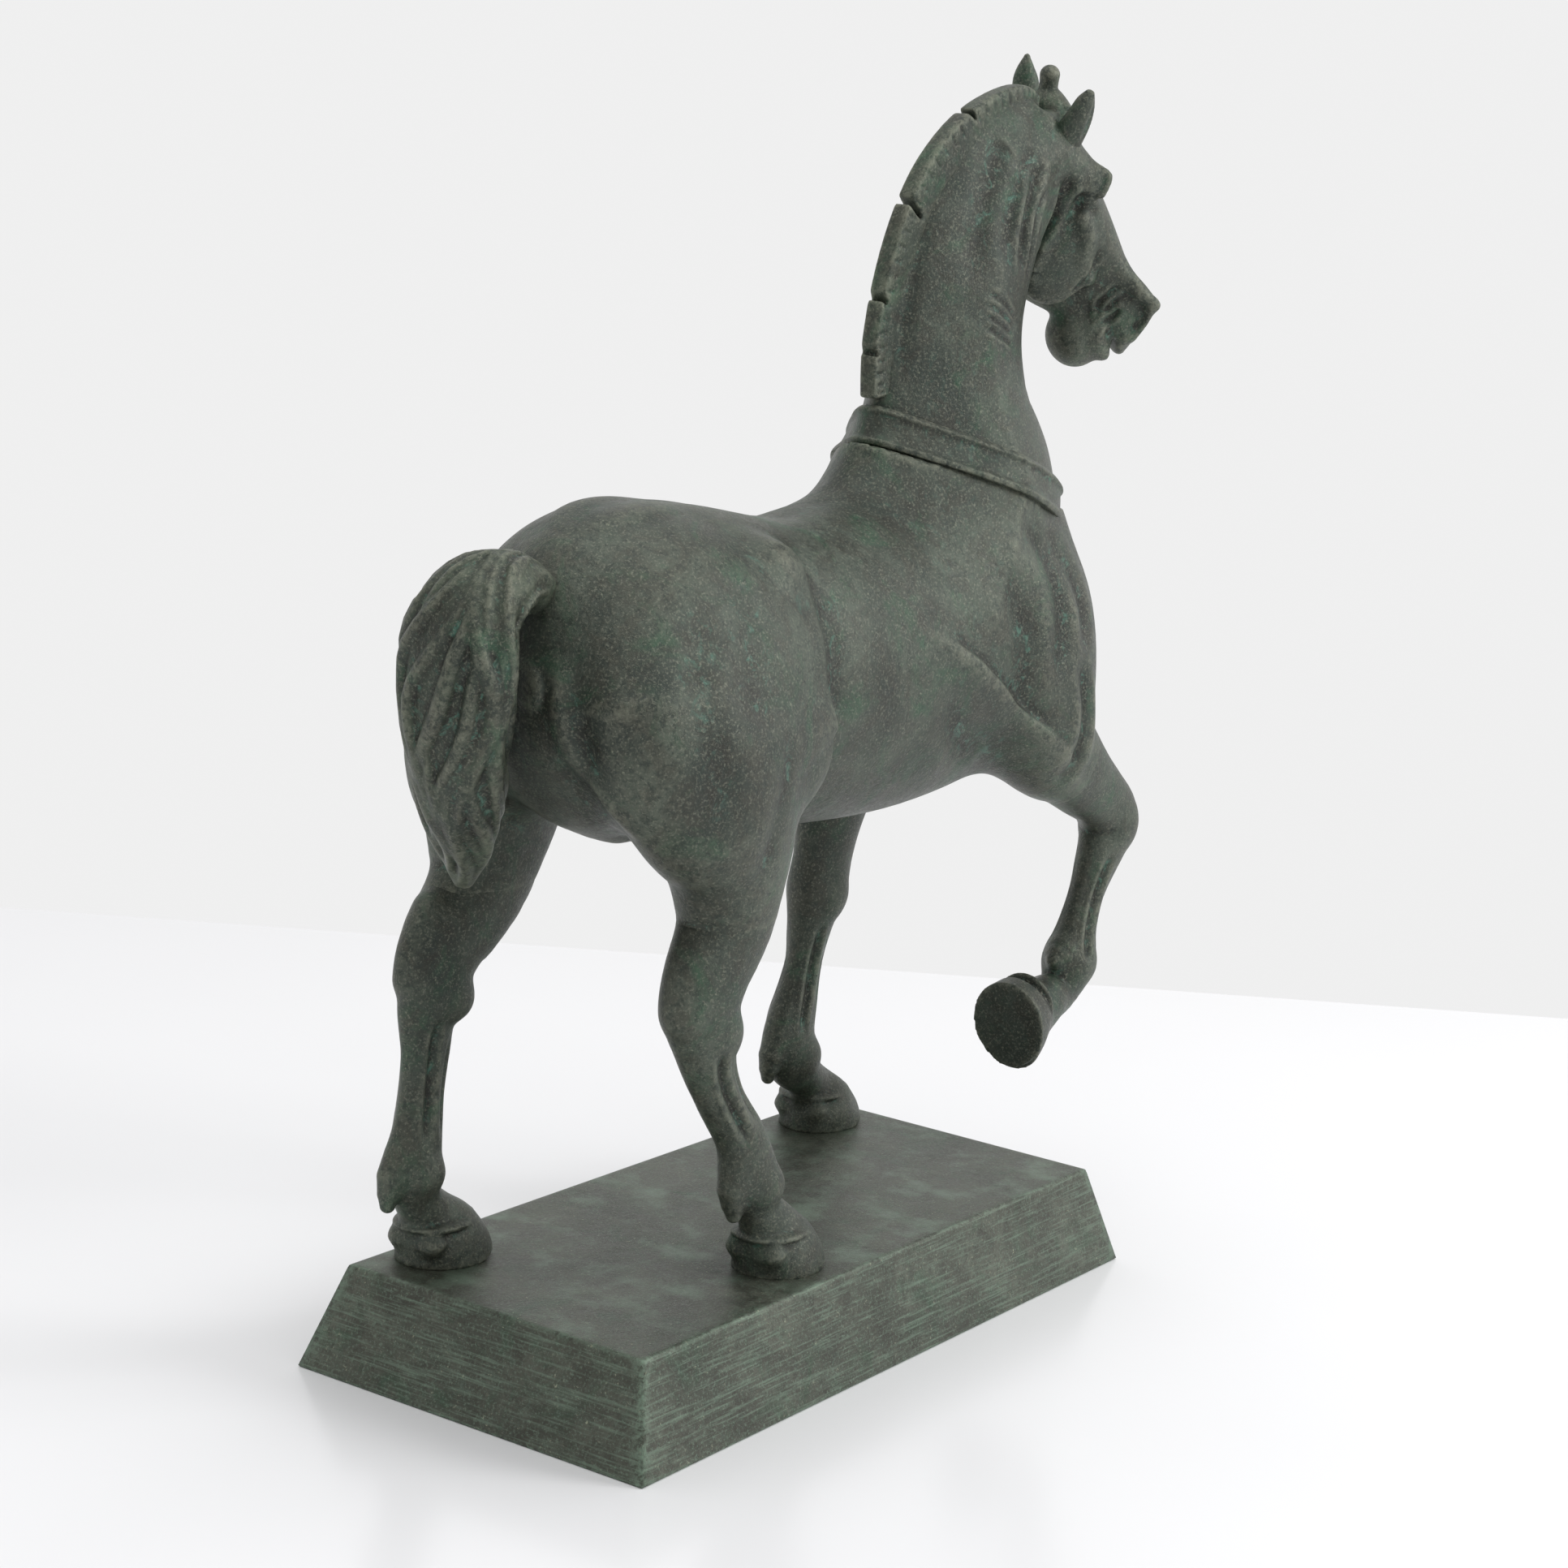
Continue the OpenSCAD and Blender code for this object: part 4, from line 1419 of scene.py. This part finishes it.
@dataclass
class Plinth(Casting):
    """The hollow oblong plinth with leaning sides."""

    bench: Bench
    lean: float = 9.0
    wall: float = 5.0
    along: int = 96
    across: int = 46

    def outline(self, x: float, y: float) -> np.ndarray:
        """Sets points round a rectangle, closely spaced, in order.

        Args:
            x: half its length.
            y: half its width.

        Returns:
            The points.
        """
        nx, ny = self.along, self.across
        sx, sy = np.linspace(-1, 1, nx + 1)[:-1], np.linspace(-1, 1, ny + 1)[:-1]
        sides = [
            np.stack([sx * x, np.full(nx, -y)], 1), np.stack([np.full(ny, x), sy * y], 1),
            np.stack([-sx * x, np.full(nx, y)], 1), np.stack([np.full(ny, -x), -sy * y], 1),
        ]
        return np.concatenate(sides)

    def build(self) -> None:
        """Models the plinth and stands it for its node."""
        low, high = (np.asarray(c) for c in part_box("plinth"))
        half, tall = (high - low) / 2 * 1000, float(high[2] - low[2]) * 1000
        rows: list[tuple[float, float]] = [(self.wall + self.lean, -self.wall), (self.wall, -tall)]
        rows += [(0.5, -tall), (0.1, -tall + 0.4)]
        for share in np.linspace(0.03, 0.97, 22):
            rows.append((self.lean * share, -tall + (tall - 0.6) * share))
        rows += [(self.lean + 0.1, -0.5), (self.lean + 0.5, -0.15), (self.lean + 1.2, 0.0)]
        for inset in np.linspace(self.lean + 3, half[1] - 1, 18):
            rows.append((inset, 0.0))
        count = 2 * (self.along + self.across)
        rings = [
            np.column_stack([self.outline(half[0] - inset, half[1] - inset), np.full(count, z)])
            for inset, z in rows
        ]
        quads = []
        j = np.arange(count)
        for i in range(len(rings) - 1):
            a, b = i * count + j, i * count + (j + 1) % count
            quads.append(np.stack([a, b, b + count, a + count], 1))
        quads.append(self.cover((len(rings) - 1) * count))
        quads.append(self.cover(0)[:, [1, 0, 3, 2]])
        skin = Skin(np.concatenate(rings), np.concatenate(quads).astype(np.int64))
        self.settle(skin, "plinth_block", Finish.PLINTH, "plinth", broad=3)

    def cover(self, start: int) -> np.ndarray:
        """Covers a ring with faces from one long side to the other.

        Args:
            start: the ring's first vertex.

        Returns:
            Four vertices for each face.
        """
        k = np.arange(self.along)
        count, far = 2 * (self.along + self.across), 2 * self.along + self.across - k
        return start + np.stack([k, k + 1, (far - 1) % count, far % count], 1)


@dataclass
class Fixings:
    """The pins, studs, washers and nuts, which stay as packed."""

    def dress(self) -> None:
        """Gives each its finish."""
        for finish, names in (
            (Finish.PINS, ("leg_pins", "neck_pins", "tail_pin")),
            (Finish.STUDS, ("hoof_studs", "stud_washers", "stud_nuts")),
        ):
            for name in names:
                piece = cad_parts[name]
                piece.data.materials.clear()
                piece.data.materials.append(finish.value.material())
                LOG.info("%s: %s", name, finish.value.name)


# ---------------------------------------------------------------- the setting


@dataclass
class Studio:
    """A pale glossy board, soft light from above, and the camera."""

    bench: Bench
    azimuth: float = 34.05
    elevation: float = 11.0
    distance: float = 0.934
    roll: float = 4.07
    lens: float = 74.5
    dim: float = 0.60

    def board(self) -> None:
        """The pale board, whose far edge lies behind the bronze."""
        turn = math.radians(self.azimuth)
        away, across = Vector((math.cos(turn), math.sin(turn), 0)), Vector((-math.sin(turn), math.cos(turn), 0))
        corners = [away * a + across * b for a, b in ((-3, -3), (-3, 3), (0.42, 3), (0.42, -3))]
        mesh = bpy.data.meshes.new("pale_board")
        mesh.from_pydata([tuple(c) for c in corners], [], [(3, 2, 1, 0)])
        mesh.materials.append(Tabletop().material())
        board = bpy.data.objects.new("pale_board", mesh)
        bpy.context.scene.collection.objects.link(board)

    def light(self) -> None:
        """One broad soft light overhead and a pale surround."""
        world = bpy.data.worlds.new("pale_room")
        world.use_nodes = True
        tree = world.node_tree
        turn = math.radians(self.azimuth)
        where = tree.nodes.new("ShaderNodeTexCoord")
        facing = tree.nodes.new("ShaderNodeVectorMath")
        facing.operation = "DOT_PRODUCT"
        facing.inputs[1].default_value = (math.cos(turn), math.sin(turn), 0.25)
        pale = tree.nodes.new("ShaderNodeValToRGB")
        pale.color_ramp.elements[0].color = (*(self.dim,) * 3, 1)
        pale.color_ramp.elements[1].color = (0.885, 0.885, 0.885, 1)
        pale.color_ramp.elements[1].position = 0.8
        tree.links.new(where.outputs["Generated"], facing.inputs[0])
        tree.links.new(facing.outputs["Value"], pale.inputs["Fac"])
        tree.links.new(pale.outputs["Color"], tree.nodes["Background"].inputs["Color"])
        tree.nodes["Background"].inputs["Strength"].default_value = 0.98
        bpy.context.scene.world = world
        for name, at, size, power in (
            ("overhead_softbox", (-0.1, -0.15, 1.3), 0.9, 5.0),
            ("side_softbox", (0.65, -1.0, 0.7), 0.5, 7.0),
        ):
            lamp = bpy.data.lights.new(name, "AREA")
            lamp.shape, lamp.size, lamp.energy = "SQUARE", size, power
            holder = bpy.data.objects.new(name, lamp)
            holder.location = at
            holder.rotation_euler = (Vector((0, 0, 0.18)) - Vector(at)).to_track_quat("-Z", "Y").to_euler()
            bpy.context.scene.collection.objects.link(holder)

    def camera(self) -> None:
        """The camera, at the low three-quarter view from the horse's right rear."""
        turn, dip = math.radians(self.azimuth), math.radians(self.elevation)
        ahead = Vector((math.cos(turn) * math.cos(dip), math.sin(turn) * math.cos(dip), -math.sin(dip)))
        right = ahead.cross(Vector((0, 0, 1))).normalized()
        up = right.cross(ahead)
        roll = math.radians(self.roll)
        right, up = right * math.cos(roll) + up * math.sin(roll), up * math.cos(roll) - right * math.sin(roll)
        aim = Vector((self.bench.x, self.bench.y - 0.0038, self.bench.top + 0.1303))
        lens = bpy.data.cameras.new("viewpoint")
        lens.lens, lens.sensor_width = self.lens, 36.0
        holder = bpy.data.objects.new("viewpoint", lens)
        turned = Matrix((right, up, -ahead)).transposed()
        holder.matrix_world = Matrix.Translation(aim - ahead * self.distance) @ turned.to_4x4()
        bpy.context.scene.collection.objects.link(holder)
        bpy.context.scene.camera = holder

    def build(self) -> None:
        """Sets the board, the lights and the camera."""
        self.board()
        self.light()
        self.camera()
        bpy.context.scene.view_settings.view_transform = "Standard"


def standing_hoof(x: float, y: float) -> Jig:
    """The jig of a hoof that stands on the plinth."""
    return Jig((x, y, 0), ((1, 0, 0), (0, 1, 0), (0, 0, 1)))


def legs(bench: Bench) -> list[Leg]:
    """The four legs, each with its own line from the hoof up.

    Args:
        bench: where the modelling millimetres stand.

    Returns:
        The legs.
    """
    lifted = unit((0.985, 0, 0.17))
    return [
        Leg(
            bench, "hind_leg_left",
            (
                (-92, 38, 0, 12, 15, 14), (-95, 38, 7, 11, 13, 13), (-99, 38, 13, 7, 9, 9),
                (-104, 38, 20, 6, 7, 7), (-106, 38, 27, 7, 9, 10), (-105, 38, 36, 6, 8, 9),
                (-104, 38, 49, 5, 7, 8), (-103, 38, 62, 5, 8, 9), (-103, 38, 72, 7, 9, 10),
                *THIGHS[0][:SHARED],
            ),
            standing_hoof(-92, 38), ankle=(-105, 38, 27),
            spur=((-109, 38, 38, 3.5), (-115, 38, 28, 4), (-116, 38, 20, 2.2)),
            knee=(-101, 38, 82), cannon=(5, 8),
        ),
        Leg(
            bench, "hind_leg_right",
            (
                (-30, -33, 0, 12, 15, 13), (-33, -33, 7, 11, 13, 12), (-37, -33, 14, 7, 9, 9),
                (-42, -33, 21, 6, 7, 7), (-46, -33, 30, 7, 9, 10), (-53, -33, 43, 6, 8, 8),
                (-62, -33, 54, 6, 7, 7), (-68, -33, 64, 6, 8, 9), (-72, -33, 74, 8, 11, 11),
                *THIGHS[1][:SHARED],
            ),
            standing_hoof(-30, -33), ankle=(-43, -33, 27),
            spur=((-54, -33, 38, 3.5), (-55, -33, 28, 4), (-53, -33, 20, 2.2)),
            knee=(-74, -33, 82), cannon=(5, 8),
        ),
        Leg(
            bench, "fore_leg_left",
            (
                (94, 37, 0, 12, 15, 14), (90, 36, 7, 11, 13, 13), (86, 36, 13, 7, 9, 9),
                (80, 35, 19, 6, 7, 7), (74, 35, 25, 7, 9, 10), (71, 35, 35, 7, 9, 11), (73, 35, 46, 6, 8, 8),
                (76, 35, 58, 5, 7, 7), (78, 35, 71, 7, 9, 9), (80, 35, 80, 9, 11, 11), *ARMS[0][:SHARED],
            ),
            standing_hoof(94, 37), ankle=(75, 35, 27),
            spur=((66, 35, 38, 3.5), (61, 35, 29, 4), (60, 35, 22, 2.2)),
            knee=(79, 35, 79), cannon=(5, 8), hind=False,
        ),
        Leg(
            bench, "fore_leg_right",
            (
                (95, -30, 47, 12, 15, 12), (102, -30, 48, 11, 12, 11), (110, -30, 49, 8, 10, 10),
                (118, -30, 51, 7, 8, 8), (125, -30, 53, 6, 8, 7), (131, -30, 61, 8, 10, 10),
                (134, -30, 71, 6, 8, 7), (139, -30, 83, 5, 7, 7), (145, -30, 96, 7, 10, 9),
                (148, -30, 106, 9, 11, 11), *ARMS[1][:SHARED],
            ),
            Jig((95, -30, 47), ((0.17, 0, -0.985), (0, 1, 0), tuple(lifted))), ankle=(131, -30, 61),
            spur=((133, -30, 64, 5), (127, -30, 65, 5), (122, -30, 63, 3)),
            knee=(147, -30, 104), cannon=(5, 8),
            raised=True, hind=False,
        ),
    ]


def main() -> None:
    """Builds every piece in order and sets it in the studio."""
    logging.basicConfig(level=logging.INFO, format="%(message)s")
    bench = Bench.on_plinth()
    for part in (Plinth(bench), HorseBody(bench), *legs(bench), NeckAndHead(bench), Collar(bench), Tail(bench)):
        part.build()
    Fixings().dress()
    Studio(bench).build()


if __name__ == "__main__":
    main()
